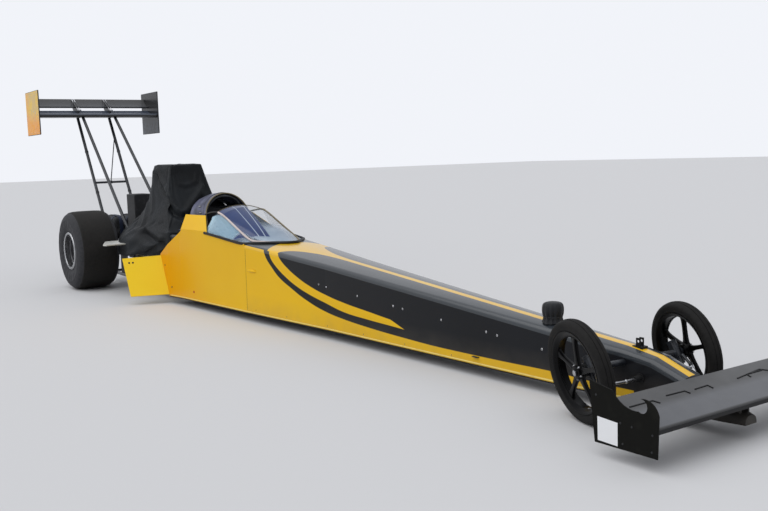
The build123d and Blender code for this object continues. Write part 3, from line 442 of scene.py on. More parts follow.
# %% Cloth
def cloth(name, base, faded, roughness=0.7, thread=0.0022, sheen=0.25, shine=0.3):
    """A plain weave: threads over and under each other in two directions, with soft creases."""
    finish = Finish(name, base, roughness, shine=shine)
    finish.shader.inputs["Sheen Weight"].default_value = sheen
    finish.shader.inputs["Sheen Roughness"].default_value = 0.4
    worn = finish.noise(3.2, 4.0).over(0.55, 0.4)
    waves = [finish.maths_of("SINE", axis * (pi / thread)) for axis in (finish.x + finish.y, finish.z)]
    weave = waves[0] * waves[1] * 0.5 + 0.5
    shade = finish.mix(worn, base, faded)
    finish.paint(weave * 0.25, shade, tuple(0.5 * value for value in base[:3]) + (1,))
    finish.bump(weave * 0.25 + finish.noise(16.0, 4.0) * 0.9, 0.004, 0.5)
    return finish


cover_cloth = cloth("cover_cloth", colour(18, 20, 22), colour(36, 40, 44), 0.5, sheen=0.0, shine=0.15)
bag_cloth = cloth("bag_cloth", colour(19, 20, 23), colour(36, 38, 42), 0.6, sheen=0.1)
sky_cloth = cloth("sky_cloth", colour(142, 184, 206), colour(184, 210, 222), 0.75)
plate_satin = satin("plate_satin", colour(12, 12, 9), colour(24, 24, 20), 0.5, shine=0.1)
rib_black = satin("rib_black", colour(30, 31, 34), colour(62, 64, 68), 0.4)
# Pale yellow, used as a painted highlight on the rolled bottom edge.
lip_painted_highlight = satin("lip_painted_highlight", colour(238, 214, 120), colour(214, 186, 96), 0.4)
olive_trim = satin("olive_trim", colour(122, 112, 88), colour(92, 84, 66), 0.5)
navy_cloth = cloth("navy_cloth", colour(26, 46, 88), colour(40, 62, 104), 0.7)
strap_web = cloth("strap_web", colour(22, 32, 56), colour(40, 52, 80), 0.7, 0.0014)
print("finishes made:", len(bpy.data.materials))

# %% [markdown]
# The windshield is a clear sheet. The right half of its roof is tinted deep blue as far as a slanted
# front edge, with two thin pale lines along it. The clear part in front is painted milky and pale,
# a painted reflection of the sky. The same masks set the tint and how much can be seen through.

# %% Clear screen
screen = Finish("screen", colour(40, 66, 118), 0.05, coat=0.2, shine=0.3)
roof_part = screen.facing(2).over(0.72, 0.04)
line_x = (screen.x - (3.17 + AXLE_X)) * (1 / 0.76)
line_y = screen.y + 0.035
right_of_ridge = (line_y + line_x * 0.135).under(0.0, 0.008)
front_bound = (screen.x - screen.y * 1.62).under(3.741 + AXLE_X, 0.008)
band = right_of_ridge * front_bound * roof_part
thin_lines = (1 - abs(line_y + line_x * 0.143 + 0.03).over(0.0035, 0.003)) + (
    1 - abs(line_y + line_x * 0.088 + 0.0977).over(0.003, 0.003))
haze = screen.noise(6.0, 3.0)
# The pale milky colour of the clear parts is a painted reflection of the sky.
milky_painted_reflection = screen.mix(haze, colour(112, 134, 156), colour(176, 190, 204))
tint = screen.mix(band, milky_painted_reflection, screen.mix(haze, colour(6, 34, 84), colour(12, 50, 106)))
lined = (thin_lines * roof_part * front_bound).limited()
screen.paint(lined * 0.8, tint, colour(176, 190, 206))
# The clear roof in front is made less see-through as part of the painted sky reflection.
front_painted_reflection = screen.x.over(3.36 + AXLE_X, 0.2) * roof_part * (1 - band)
screen.surface("Alpha", 0.1 + band * 0.84 + front_painted_reflection * 0.56 + 0.06 * haze + lined * 0.2)
screen.surface("Roughness", 0.04 + 0.08 * haze)

# %% [markdown]
# Some panels need a finish of their own. The rear wing's end plates are yellow outside, sun-faded
# in soft patches, and black with a scuffed silvery lower half inside. The front wing is dark and
# glossy, with a painted reflection of the sky that makes it paler towards its leading edge. The
# cockpit sides are yellow, turn orange at the lower rear in a painted dark reflection, and are black inside.

# %% Finishes of single panels
cockpit_paint, _ = lacquer("cockpit_side_paint")
# The orange at the lower rear of the cockpit sides is painted: a dark reflection of the deflector in the
# yellow paint.
painted_dark_reflection = cockpit_paint.x.under(2.25 + AXLE_X, 1.0) * cockpit_paint.z.under(0.7, 0.5) * 0.8
lining = (cockpit_paint.facing(1) * cockpit_paint.y).under(-0.05, 0.02)
cockpit_paint.paint(lining, cockpit_paint.mix(painted_dark_reflection, yellow_coat(cockpit_paint), YELLOW_IN_PAINTED_DARK_REFLECTION), BLACK)
deflector_paint, _ = lacquer("deflector_paint")
deflector_paint.paint(deflector_paint.noise(2.0), colour(246, 206, 30), colour(250, 216, 52))
# The shroud is gloss black. Its lavender grey with paler clouds is partly faded paint and partly a painted
# reflection of the sky.
shroud_fade_and_painted_reflection, _ = lacquer("shroud_fade_and_painted_reflection")
shroud_fade_and_painted_reflection.paint(shroud_fade_and_painted_reflection.noise(7.0, 3.0).over(0.5, 0.3), colour(58, 60, 76), colour(104, 106, 128))

end_plate = Finish("end_plate", YELLOW, 0.35, coat=0.15)
outer_face = abs(end_plate.y).over(0.7925, 0.0008)
low_down = end_plate.z.under(2.08, 0.16)
rear_edge = end_plate.x.under(-1.72 + AXLE_X, 0.12)
faded = end_plate.noise(6.5, 2.0).over(0.52, 0.18)
sunned = end_plate.mix(faded * 0.7, YELLOW_PALE, colour(206, 176, 112))
sunned = end_plate.mix((low_down + rear_edge * 0.5).limited() * 0.75, sunned, colour(246, 152, 20))
mottle = end_plate.noise(22.0, 5.0).over(0.5, 0.22) * end_plate.z.under(2.02, 0.08)
inner_face = end_plate.mix(mottle * 0.7, colour(16, 17, 20), colour(104, 110, 118))
end_plate.paint(outer_face, inner_face, sunned)
end_plate.surface("Roughness", 0.3 + 0.2 * mottle)

wing_gloss = Finish("wing_gloss", colour(40, 41, 45), 0.3, coat=0.4)
# The paler grey towards the leading edge is a painted reflection of the sky on the dark gloss.
leading = wing_gloss.x.over(8.19 + AXLE_X, 0.05) * (0.75 + 0.5 * wing_gloss.noise(5.0, 4.0))
wing_grey_with_painted_reflection = wing_gloss.mix(leading.limited(), colour(18, 18, 19), colour(68, 70, 75))
nose_edge = wing_gloss.x.over(8.338 + AXLE_X, 0.004)
wing_gloss.paint(nose_edge, wing_grey_with_painted_reflection, colour(16, 16, 18))
wing_gloss.surface("Roughness", 0.22 + 0.2 * wing_gloss.noise(11.0, 4.0))

wing_main = Finish("wing_main", colour(30, 31, 34), 0.3, coat=0.5)
# Upward faces are painted bluish grey: a painted reflection of the sky on the black wing.
wing_main.paint(wing_main.facing(2).over(0.35, 0.2), colour(24, 24, 26), colour(66, 74, 88))
wing_main.surface("Roughness", 0.26 + 0.16 * wing_main.noise(8.0, 4.0))
wing_flap = Finish("wing_flap", colour(66, 67, 70), 0.35, coat=0.2)
# The upper part of the flap is painted paler grey: painted light from above.
wing_flap.paint(wing_flap.z.over(2.275, 0.12), colour(50, 53, 58), colour(86, 86, 86))
wing_flap.surface("Roughness", 0.3 + 0.16 * wing_flap.noise(8.0, 4.0))

# %% [markdown]
# A node of the imported car keeps its mesh. Only its list of materials changes, so the exact
# imported shape stays under the paint.

# %% Finishes on the imported nodes
FINISH_OF = {
    side_paint: ["left_nose_side", "right_nose_side"],
    top_paint: ["hood", "cockpit_cowl"],
    black_paint: ["nose_cap", "front_wing_posts"],
    plate_satin: ["front_wing_plates"],
    shroud_fade_and_painted_reflection: ["cockpit_shroud"],
    cockpit_paint: ["left_cockpit_side", "right_cockpit_side"],
    deflector_paint: ["rear_deflectors"],
    trim_black: ["belly_pan", "tow_bracket", "dash_panel", "firewall", "steering_wheel", "chute_tray"],
    frame_paint: ["chassis_frame", "roll_cage", "front_axle", "left_knuckle", "right_knuckle",
                  "rear_wing_supports"],
    sheet_aluminium: ["engine_side_plates"],
    bright_steel: ["steering_rack", "steering_column", "rear_axle_shaft"],
    brake_steel: ["rear_brake_discs"],
    axle_case: ["rear_axle_housing", "rear_brake_calipers", "breather_tank"],
    engine_metal: ["engine_block"],
    boot_rubber: ["rack_boots"],
    screen: ["windshield"],
    end_plate: ["rear_wing_plates"],
    wing_gloss: ["front_wing"],
    wing_main: ["rear_wing_main"],
    wing_flap: ["rear_wing_flap"],
    wheel_metal: ["rear_rims"],
    wheel_black: ["left_front_rim", "right_front_rim"],
    slick_rubber: ["rear_tyres"],
    front_rubber: ["left_front_tyre", "right_front_tyre"],
    cover_cloth: ["engine_cover"],
    bag_cloth: ["parachute_packs", "fuel_filler"],
    navy_cloth: ["driver_seat"],
}
for finish, names in FINISH_OF.items():
    for name in names:
        nodes[name].data.materials.clear()
        nodes[name].data.materials.append(finish.material)
left_over = sorted(set(nodes) - {name for names in FINISH_OF.values() for name in names})
print("nodes without a finish:", left_over)

# %% [markdown]
# New pieces start as a bmesh: a few points or one of its basic shapes, worked on with operators.
# Six small helpers cover most of the car: a profile spun round an axle, a round bar, a flat plate
# with softened edges, a round bar bent along a line, a low button, and a skin over rows of
# points. One more turns the result into an object, shades it smooth up to a chosen angle, and
# lets it ride on a part of the car.


# %% Helpers for new pieces
def closed_pairs(items):
    """Each item with the next, and the last with the first."""
    return list(zip(items, items[1:] + items[:1]))


def full_turn(count):
    """Evenly spread angles."""
    return [2 * pi * index / count for index in range(count)]


def spun_line(bm, points, pairs, axis, steps):
    """Spin points and the lines between them once around an axis."""
    edges = [bm.edges.new(pair) for pair in pairs]
    bmesh.ops.spin(bm, geom=points + edges, cent=(0, 0, 0), axis=axis, dvec=(0, 0, 0), angle=2 * pi,
                   steps=steps, use_merge=True, use_duplicate=False)
    bmesh.ops.remove_doubles(bm, verts=bm.verts, dist=1e-6)
    return bm


def spun(profile, steps=96):
    """A ring around the Y axis from a profile of (radius, distance along the axle) points."""
    bm = bmesh.new()
    points = [bm.verts.new((radius, along, 0)) for radius, along in profile]
    return spun_line(bm, points, closed_pairs(points), (0, 1, 0), steps)


def softened(bm, edges, width, segments=2):
    """Round some edges off."""
    bmesh.ops.bevel(bm, geom=edges, offset=width, segments=segments, profile=0.5, material=-1,
                    affect="EDGES")


def bar(start, end, radius, end_radius=None, sides=20, soft=0.0):
    """A round bar or cone between two places, with softened ends."""
    bm = bmesh.new()
    along = Vector(end) - Vector(start)
    turn = along.to_track_quat("Z", "Y").to_matrix().to_4x4()
    bmesh.ops.create_cone(bm, cap_ends=True, segments=sides, radius1=radius,
                          radius2=radius if end_radius is None else end_radius, depth=along.length,
                          matrix=Matrix.Translation((Vector(start) + Vector(end)) / 2) @ turn)
    if soft:
        caps = [edge for edge in bm.edges if any(len(face.verts) > 4 for face in edge.link_faces)]
        softened(bm, caps, soft)
    return bm


def plate(outline, thickness, normal, soft=0.0):
    """A flat piece: an outline of places, thickened along a normal, with rounded edges."""
    bm = bmesh.new()
    face = bm.faces.new([bm.verts.new(place) for place in outline])
    grown = bmesh.ops.extrude_face_region(bm, geom=[face], use_keep_orig=True)
    new = [item for item in grown["geom"] if isinstance(item, bmesh.types.BMVert)]
    bmesh.ops.translate(bm, verts=new, vec=Vector(normal).normalized() * thickness)
    bmesh.ops.recalc_face_normals(bm, faces=bm.faces)
    if soft:
        softened(bm, list(bm.edges), soft)
    return bm


def bent(places, radius, sides=10, closed=False):
    """A round bar along a smooth line through a few places."""
    line = bpy.data.curves.new("line", "CURVE")
    line.dimensions = "3D"
    spline = line.splines.new("NURBS")
    spline.points.add(len(places) - 1)
    for point, place in zip(spline.points, places):
        point.co = (*place, 1)
    spline.use_endpoint_u = not closed
    spline.use_cyclic_u = closed
    spline.order_u = 3
    line.bevel_depth = radius
    line.bevel_resolution = max(1, sides // 4 - 1)
    line.use_fill_caps = not closed
    holder = bpy.data.objects.new("line", line)
    mesh = bpy.data.meshes.new_from_object(holder)
    bm = bmesh.new()
    bm.from_mesh(mesh)
    bpy.data.objects.remove(holder)
    bpy.data.meshes.remove(mesh)
    return bm


def dome(place, outward, radius, height, sides=14):
    """A low button whose flat side lies on a surface."""
    bm = bmesh.new()
    bmesh.ops.create_uvsphere(bm, u_segments=sides, v_segments=8, radius=1)
    low = [vert for vert in bm.verts if vert.co.z < -0.01]
    bmesh.ops.delete(bm, geom=low, context="VERTS")
    rim = [edge for edge in bm.edges if edge.is_boundary]
    bmesh.ops.contextual_create(bm, geom=rim)
    bmesh.ops.scale(bm, vec=(radius, radius, height), verts=bm.verts)
    turn = Vector(outward).to_track_quat("Z", "Y").to_matrix().to_4x4()
    bmesh.ops.transform(bm, matrix=Matrix.Translation(place) @ turn, verts=bm.verts)
    return bm


def skin(bm, pairs):
    """Fill the gaps between pairs of rows of points with faces."""
    for one, two in pairs:
        for index in range(len(one) - 1):
            bm.faces.new((one[index], one[index + 1], two[index + 1], two[index]))
    return bm


def thickened(bm, thickness):
    """Give a skin its thickness."""
    bmesh.ops.recalc_face_normals(bm, faces=bm.faces)
    bmesh.ops.solidify(bm, geom=bm.faces, thickness=thickness)
    return bm


def painted(bm, index):
    """Give all faces of a shape one of its piece's finishes."""
    for face in bm.faces:
        face.material_index = index
    return bm


def joined(shapes):
    """Several shapes as one."""
    whole = bmesh.new()
    for shape in shapes:
        mesh = mesh_of("shape", shape)
        whole.from_mesh(mesh)
        bpy.data.meshes.remove(mesh)
    return whole


def moved(bm, matrix):
    """Turn and shift a shape."""
    bmesh.ops.transform(bm, matrix=matrix, verts=bm.verts)
    return bm


def piece(name, bm, finishes, stands_for=(), crease=38, body="chassis"):
    """Make an object of a shape, shade it, and let it ride on a body of the car."""
    bmesh.ops.recalc_face_normals(bm, faces=bm.faces)
    mesh = mesh_of(name, bm)
    for finish in finishes:
        mesh.materials.append(finish.material)
    mesh.shade_smooth()
    mesh.set_sharp_from_angle(angle=radians(crease))
    made = placed(name, mesh)
    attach(made, body)
    if stands_for:
        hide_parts(*stands_for)
    print(name, len(mesh.polygons), "faces")
    return made


def look(made, start, way):
    """Where a line of sight meets a piece, with the surface's outward direction, or nothing."""
    found, place, outward, _ = made.ray_cast(start, Vector(way))
    return (place, outward) if found else None


def half_turn(side):
    """Wheels are made for the right side, and turned half round for the left one."""
    return Matrix.Rotation(pi if side > 0 else 0, 4, "Z")


# %% [markdown]
# ## Front wheels
# The front tyres are narrow, with a plain wall, a rounded shoulder and two shallow grooves. A
# spun profile gives all of that at once. Each wheel is made straight, with its outside towards
# the right, and is then turned half round for the left side and steered 18 degrees about the
# leaning kingpin, just as the solid was.

# %% Steered place of each front wheel
WHEEL_CENTRE = {-1: at(7.60448, -0.41716, 0.28296), 1: at(7.63552, 0.41716, 0.28296)}
KINGPIN = Vector((-0.5, 0, 0.8660254))
STEERED = Matrix.Rotation(radians(-18), 4, KINGPIN)


def front_place(side):
    """The place and turn of a front wheel."""
    return Matrix.Translation(WHEEL_CENTRE[side]) @ STEERED @ half_turn(side)


def mirrored(half):
    """A whole profile from its outer half, whose last point lies in the middle."""
    return [(radius, -along) for radius, along in half] + list(reversed(half[:-1]))


# %% Front tyres
FRONT_WALL = [(0.2145, 0.033), (0.229, 0.0345), (0.2315, 0.0372), (0.2365, 0.0385), (0.2385, 0.0378),
              (0.25, 0.041), (0.257, 0.042), (0.266, 0.0405), (0.2735, 0.036), (0.2785, 0.0295),
              (0.2815, 0.0225), (0.2833, 0.0165), (0.2838, 0.0135), (0.2812, 0.013), (0.2812, 0.0105),
              (0.2847, 0.01), (0.2857, 0.0)]
for side, name in SIDE_NAMES.items():
    tyre = moved(spun(mirrored(FRONT_WALL), 128), front_place(side))
    piece(f"{name}_tyre_ribbed", tyre, [front_rubber], [f"{name}_front_tyre"], crease=28,
          body=f"{name}_front_wheel")

# %% [markdown]
# The wheels are cast and black, with five spokes that flare softly into the hub and the rim, so
# the gaps between them have round corners. One spoke is an outline, given thickness and bevelled,
# and the spin operator copies it. The barrel is spun, with a step that catches the light.

# %% Front wheels with their bolts
SPOKE = [(0.03, 0.0218), (0.04, 0.0215), (0.05, 0.0185), (0.065, 0.0152), (0.09, 0.0132), (0.12, 0.0124),
         (0.15, 0.0128), (0.172, 0.015), (0.188, 0.0205), (0.198, 0.029), (0.205, 0.042), (0.2095, 0.056)]
BARREL = [(0.2259, -0.038), (0.2259, -0.0335), (0.215, -0.0325), (0.212, -0.016), (0.212, 0.016),
          (0.215, 0.0325), (0.2259, 0.0335), (0.2259, 0.038), (0.2215, 0.0378), (0.212, 0.033),
          (0.204, 0.029), (0.2, 0.012), (0.1985, -0.012), (0.1935, -0.015), (0.193, -0.0215),
          (0.199, -0.026), (0.208, -0.033), (0.216, -0.036), (0.2215, -0.0378)]
HUB = [(0.015, -0.03), (0.033, -0.03), (0.0375, -0.027), (0.038, -0.02), (0.044, -0.0165), (0.044, 0.01),
       (0.038, 0.015), (0.038, 0.03), (0.015, 0.03)]
for side, name in SIDE_NAMES.items():
    spoke_edge = [(x, -0.019, -z) for x, z in SPOKE] + [(x, -0.019, z) for x, z in reversed(SPOKE)]
    spoke = plate(spoke_edge, 0.021, (0, 1, 0), 0.0035)
    everything = list(spoke.verts) + list(spoke.edges) + list(spoke.faces)
    bmesh.ops.spin(spoke, geom=everything, cent=(0, 0, 0), axis=(0, 1, 0), dvec=(0, 0, 0),
                   angle=2 * pi * 4 / 5, steps=4, use_merge=False, use_duplicate=True)
    moved(spoke, Matrix.Rotation(radians(-90), 4, "Y"))
    shapes = [spun(BARREL), spun(HUB, 48), spoke]
    for index in range(5):
        turn = Matrix.Rotation(radians(36 - 90 + index * 72), 4, "Y")
        bolt = bar((0.0385, -0.0168, 0), (0.0385, -0.0235, 0), 0.0062, sides=6, soft=0.0008)
        shapes.append(painted(moved(bolt, turn), 1))
        stud = bar((0.0385, -0.023, 0), (0.0385, -0.0275, 0), 0.0032, sides=12, soft=0.0008)
        shapes.append(painted(moved(stud, turn), 1))
    valve = bar((0.205, -0.023, 0), (0.196, -0.043, 0), 0.0035, 0.003, sides=10, soft=0.0008)
    shapes.append(painted(moved(valve, Matrix.Rotation(radians(57), 4, "Y")), 1))
    whole = moved(joined(shapes), front_place(side))
    piece(f"{name}_wheel_five_spoke", whole, [wheel_black, bright_steel],
          [f"{name}_front_rim"], body=f"{name}_front_wheel")

# %% [markdown]
# The nut on each spindle doesn't turn with the wheel. It is a bright hexagon with a split pin over
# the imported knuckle's collar, and rides on the knuckle's body.

# %% Spindle nuts
for side, name in SIDE_NAMES.items():
    nut = bar((0, -0.0305, 0), (0, -0.0395, 0), 0.0165, sides=6, soft=0.0012)
    pin = bar((-0.019, -0.0365, 0), (0.019, -0.0365, 0), 0.0018, sides=8)
    piece(f"{name}_spindle_nut", moved(joined([nut, pin]), front_place(side)), [bright_steel],
          body=f"{name}_spindle")

# %% [markdown]
# ## Rear wheels
# The rear tyres are wide, soft slicks. Their wall is slack, so it shows faint wrinkles and two
# moulded rings, and the tread is scuffed flat with a sharp worn shoulder. The wheel inside stays
# as packed: a deep dish of polished metal. It gets a bolted ring at its edge, lug nuts and a cap
# over the hub.

# %% Rear tyres
REAR_WALL = [(0.2035, 0.2), (0.215, 0.2075), (0.223, 0.213), (0.232, 0.219), (0.237, 0.224),
             (0.242, 0.2238), (0.246, 0.2268), (0.262, 0.235), (0.285, 0.2425), (0.31, 0.2455),
             (0.33, 0.2458), (0.354, 0.2446), (0.358, 0.2462), (0.362, 0.2438), (0.385, 0.2385),
             (0.408, 0.2295), (0.423, 0.218), (0.434, 0.202), (0.4395, 0.19), (0.442, 0.1885), (0.447, 0.184),
             (0.453, 0.15), (0.456, 0.1), (0.4568, 0.05), (0.457, 0.0)]
REAR_TRACK_HALF = 0.658
REAR_AXLE_HEIGHT = 0.457
shapes = []
for side in SIDES:
    slick = spun(mirrored(REAR_WALL), 160)
    for face in slick.faces:
        if abs(face.calc_center_median().y) > 0.19:
            face.material_index = 1
    for vert in slick.verts:
        angle = atan2(vert.co.z, vert.co.x)
        reach = Vector((vert.co.x, vert.co.z)).length
        slack = max(0.0, 1 - abs(reach - 0.31) / 0.085) * (1 if vert.co.y > 0 else -1)
        wrinkle = 0.0022 * (sin(23 * angle + 9 * reach) + 0.6 * sin(37 * angle - 1.3))
        vert.co.y += slack * (wrinkle - 0.0032)
    shapes.append(moved(slick, Matrix.Translation(at(0, side * REAR_TRACK_HALF, REAR_AXLE_HEIGHT))))
piece("slick_tyres", joined(shapes), [slick_rubber, wall_rubber], ["rear_tyres"], crease=30,
      body="rear_wheels")

# %% Rims' bolted rings, lug nuts and hub caps
RIM_RING = [(0.192, -0.2225), (0.1935, -0.2275), (0.1975, -0.2292), (0.21, -0.2292), (0.2165, -0.2262),
            (0.2195, -0.2225)]
HUB_CAP = [(0.03, 0.0838), (0.03, 0.03), (0.0285, 0.0265), (0.024, 0.025), (0.0, 0.025), (0.0, 0.0838)]
BEAD_STEP = [(0.1905, -0.16), (0.187, -0.158), (0.187, -0.146), (0.1905, -0.144)]
shapes = []
for side in SIDES:
    parts = [spun(RIM_RING, 120)]
    for index in range(24):
        turn = Matrix.Rotation(radians(index * 15), 4, "Y")
        bolt = bar((0.2035, -0.2285, 0), (0.2035, -0.2345, 0), 0.0052, sides=6, soft=0.0007)
        parts.append(moved(bolt, turn))
    for index in range(5):
        turn = Matrix.Rotation(radians(index * 72 + 20), 4, "Y")
        nut = bar((0.07, 0.084, 0), (0.07, 0.06, 0), 0.0125, 0.011, sides=6, soft=0.001)
        parts.append(moved(nut, turn))
    parts += [spun(HUB_CAP, 40), spun(BEAD_STEP, 120)]
    place = Matrix.Translation(at(0, side * REAR_TRACK_HALF, REAR_AXLE_HEIGHT)) @ half_turn(side)
    shapes.append(moved(joined(parts), place))
piece("rim_rings_and_nuts", joined(shapes), [wheel_metal], body="rear_wheels")

# %% [markdown]
# ## The engine's cover
# At rest in the pits the engine wears a black cloth cover. It is sewn from panels into a loose
# box that hangs from the air scoop, widens over the engine's side pipes and is tied in at its
# hem. The plan is a cube without a bottom, whose rings follow the measured outline. Blender's
# cloth then lets it sink onto plain stand-ins for the scoop, blower, engine and pipes, and the
# few large folds that the photograph shows are pushed in afterwards, as a sculptor would.

# %% Cloth by simulation
COVER_RINGS = [(0.452, 0.5, 1.8, 0.436), (0.5, 0.476, 1.85, 0.448), (0.62, 0.478, 1.87, 0.446),
               (0.75, 0.512, 1.88, 0.424), (0.9, 0.69, 1.82, 0.352), (1.05, 0.902, 1.69, 0.276),
               (1.25, 0.952, 1.6, 0.238), (1.4, 0.978, 1.53, 0.212), (1.431, 0.996, 1.512, 0.196)]


COVER_FOOT, COVER_TOP = COVER_RINGS[0][0], COVER_RINGS[-1][0]


def part_of_one(*values):
    """The smallest of some values, kept between 0 and 1."""
    return max(0.0, min(1.0, *values))


def bell(distance):
    """1 at no distance, falling off smoothly on both sides."""
    return 2.718 ** -(distance ** 2)


def between(rings, height):
    """The ring of a table at any height, straight between its neighbours."""
    for low, high in zip(rings, rings[1:]):
        if height <= high[0]:
            share = max(0.0, (height - low[0]) / (high[0] - low[0]))
            return [a + share * (b - a) for a, b in zip(low[1:], high[1:])]
    return list(rings[-1][1:])


def grid_box(cuts):
    """A cube from -1 to 1 whose faces are divided into small squares."""
    bm = bmesh.new()
    bmesh.ops.create_cube(bm, size=2)
    bmesh.ops.subdivide_edges(bm, edges=bm.edges, cuts=cuts, use_grid_fill=True)
    return bm


def open_box(cuts):
    """The same without its bottom."""
    bm = grid_box(cuts)
    bottom = [face for face in bm.faces if face.calc_center_median().z < -0.999]
    bmesh.ops.delete(bm, geom=bottom, context="FACES")
    return bm


def rounded(u, v, power):
    """Move a place in a square towards a circle; a high power rounds only the corners."""
    reach = max(abs(u), abs(v))
    size = (abs(u) ** power + abs(v) ** power) ** (1 / power)
    return (u * reach / size, v * reach / size) if size else (0.0, 0.0)


def settle(made, frames, pinned=None, walls=(), cap=0.06, pressure=0.0, gravity=1.0, slack=0.0,
           stiffness=15.0):
    """Run cloth on a piece for some frames, and keep the result, moved by no more than cap."""
    scene = bpy.context.scene
    cloth_modifier = made.modifiers.new("cloth", "CLOTH")
    settings = cloth_modifier.settings
    settings.quality = 6
    settings.mass = 0.25
    settings.tension_stiffness = stiffness
    settings.compression_stiffness = stiffness
    settings.shear_stiffness = 5
    settings.bending_stiffness = 0.6
    settings.air_damping = 2.0
    settings.shrink_min = -slack
    settings.effector_weights.gravity = gravity
    if pressure:
        settings.use_pressure = True
        settings.uniform_pressure_force = pressure
    if pinned:
        group = made.vertex_groups.new(name="pinned")
        group.add(pinned, 1.0, "REPLACE")
        settings.vertex_group_mass = "pinned"
    cloth_modifier.collision_settings.distance_min = 0.006
    cloth_modifier.collision_settings.use_collision = bool(walls)
    cloth_modifier.point_cache.frame_start = 1
    cloth_modifier.point_cache.frame_end = frames
    for wall in walls:
        wall.modifiers.new("collision", "COLLISION")
        wall.collision.thickness_outer = 0.008
    for moment in range(1, frames + 1):
        scene.frame_set(moment)
    fallen = bpy.data.meshes.new_from_object(made.evaluated_get(bpy.context.evaluated_depsgraph_get()))
    for vert, end in zip(made.data.vertices, fallen.vertices):
        step = end.co - vert.co
        if step.length > cap:
            step *= cap / step.length
        vert.co += step
    made.modifiers.remove(cloth_modifier)
    made.vertex_groups.clear()
    bpy.data.meshes.remove(fallen)
    scene.frame_set(1)


def finer_and_thick(made, thickness=0.0):
    """Divide a soft piece once more, and give a sheet its thickness."""
    finer = made.modifiers.new("finer", "SUBSURF")
    finer.levels = finer.render_levels = 1
    if thickness:
        made.modifiers.new("wall", "SOLIDIFY").thickness = thickness


def cloth_area(made):
    """The area of a sheet before it is thickened, in square metres."""
    area = sum(face.area for face in made.data.polygons)
    print(made.name, round(area, 4), "square metres")
    return area


def wall_box(low, high):
    """A plain block that cloth falls on, which is removed afterwards."""
    bm = bmesh.new()
    bmesh.ops.create_cube(bm, size=1)
    bmesh.ops.scale(bm, vec=Vector(high) - Vector(low), verts=bm.verts)
    bmesh.ops.translate(bm, vec=at(*((Vector(low) + Vector(high)) / 2)), verts=bm.verts)
    bmesh.ops.subdivide_edges(bm, edges=bm.edges, cuts=4, use_grid_fill=True)
    return placed("wall", mesh_of("wall", bm))


# %% Cover as it is put on
cover_bm = open_box(44)
for vert in cover_bm.verts:
    u, v, w = vert.co
    height = COVER_TOP - (1 - w) / 2 * (COVER_TOP - COVER_FOOT)
    u, v = rounded(u, v, 5)
    rear, front, half = between(COVER_RINGS, height)
    x = (rear + front) / 2 + u * (front - rear) / 2
    # The lower front is tucked in between the cockpit's sides, and the lower rear is widened
    # where it lies over the engine's side plates.
    tuck = part_of_one((x - 1.44) / 0.16) * part_of_one((0.8 - height) / 0.06)
    half += tuck * (0.402 - half)
    over_plate = part_of_one((x - 0.42) / 0.06, (1.26 - x) / 0.16)
    over_plate *= part_of_one((height - 0.44) / 0.06, (0.8 - height) / 0.14)
    half += 0.135 * over_plate
    vert.co = at(x, v * half, height)
cover = piece("engine_cover_cloth", cover_bm, [cover_cloth], ["engine_cover"])
WALLS = [((1.02, -0.168, 1.0), (1.48, 0.168, 1.412)), ((0.96, -0.15, 0.7), (1.4, 0.15, 1.1)),
         ((0.75, -0.222, 0.13), (1.45, 0.222, 0.79)), ((0.6, 0.3, 0.5), (1.45, 0.405, 0.66)),
         ((0.6, -0.405, 0.5), (1.45, -0.3, 0.66)), ((1.45, -0.375, 0.6), (1.84, 0.375, 0.72)),
         ((0.4, -0.26, 0.45), (0.62, 0.26, 0.64)), ((1.44, -0.16, 0.75), (1.66, 0.16, 0.98))]
walls = [wall_box(low, high) for low, high in WALLS]
points = cover.data.vertices
hem = [vert.index for vert in points if vert.co.z < COVER_FOOT + 0.0005]
held = [index for index in hem if sin(31 * points[index].co.x + 5 * points[index].co.y) > 0.2]
settle(cover, 34, held, walls, cap=0.055, slack=0.035)
for wall in walls:
    bpy.data.objects.remove(wall)

# %% [markdown]
# Three kinds of fold are added: a deep swag that hangs across the front like a curtain between
# the scoop's corners, long taut ones that fan out below the scoop, and short ones that gather at
# the pipes. Each is a height, a width and a line through a few places, and every point of the
# cloth near the line moves along its own normal. The swag's lower edge is pushed in, so it
# throws a shadow.

# %% Large folds of the cover
SWAG = [(1.14, -0.217, 1.372), (1.24, -0.229, 1.295), (1.377, -0.241, 1.223), (1.511, -0.253, 1.153),
        (1.631, -0.253, 1.077), (1.713, -0.238, 1.014), (1.764, -0.212, 0.975), (1.779, -0.171, 0.959),
        (1.772, -0.126, 0.967), (1.721, -0.052, 1.025), (1.681, 0.03, 1.092), (1.656, 0.09, 1.146),
        (1.628, 0.137, 1.209)]
UNDER_SWAG = [(1.181, -0.229, 1.295), (1.317, -0.246, 1.194), (1.445, -0.259, 1.117), (1.61, -0.277, 1.025),
              (1.737, -0.268, 0.955), (1.79, -0.205, 0.905), (1.795, -0.13, 0.905), (1.76, -0.04, 0.96),
              (1.722, 0.04, 1.03), (1.69, 0.11, 1.08)]
FRONT_FOLDS = [
    (0.034, 0.026, SWAG),
    (-0.052, 0.028, UNDER_SWAG),
    (-0.012, 0.014, [(1.626, -0.115, 1.212), (1.637, -0.06, 1.19), (1.632, 0.011, 1.2),
                     (1.617, 0.092, 1.232)]),
    (0.012, 0.016, [(1.615, -0.105, 1.245), (1.622, -0.04, 1.225), (1.61, 0.08, 1.262)]),
    (0.01, 0.012, [(1.565, 0.09, 1.33), (1.585, 0.075, 1.275)]),
    (-0.01, 0.012, [(1.56, 0.13, 1.34), (1.585, 0.12, 1.27)]),
    (-0.012, 0.08, [(1.56, -0.16, 1.345), (1.62, -0.05, 1.1)]),
]
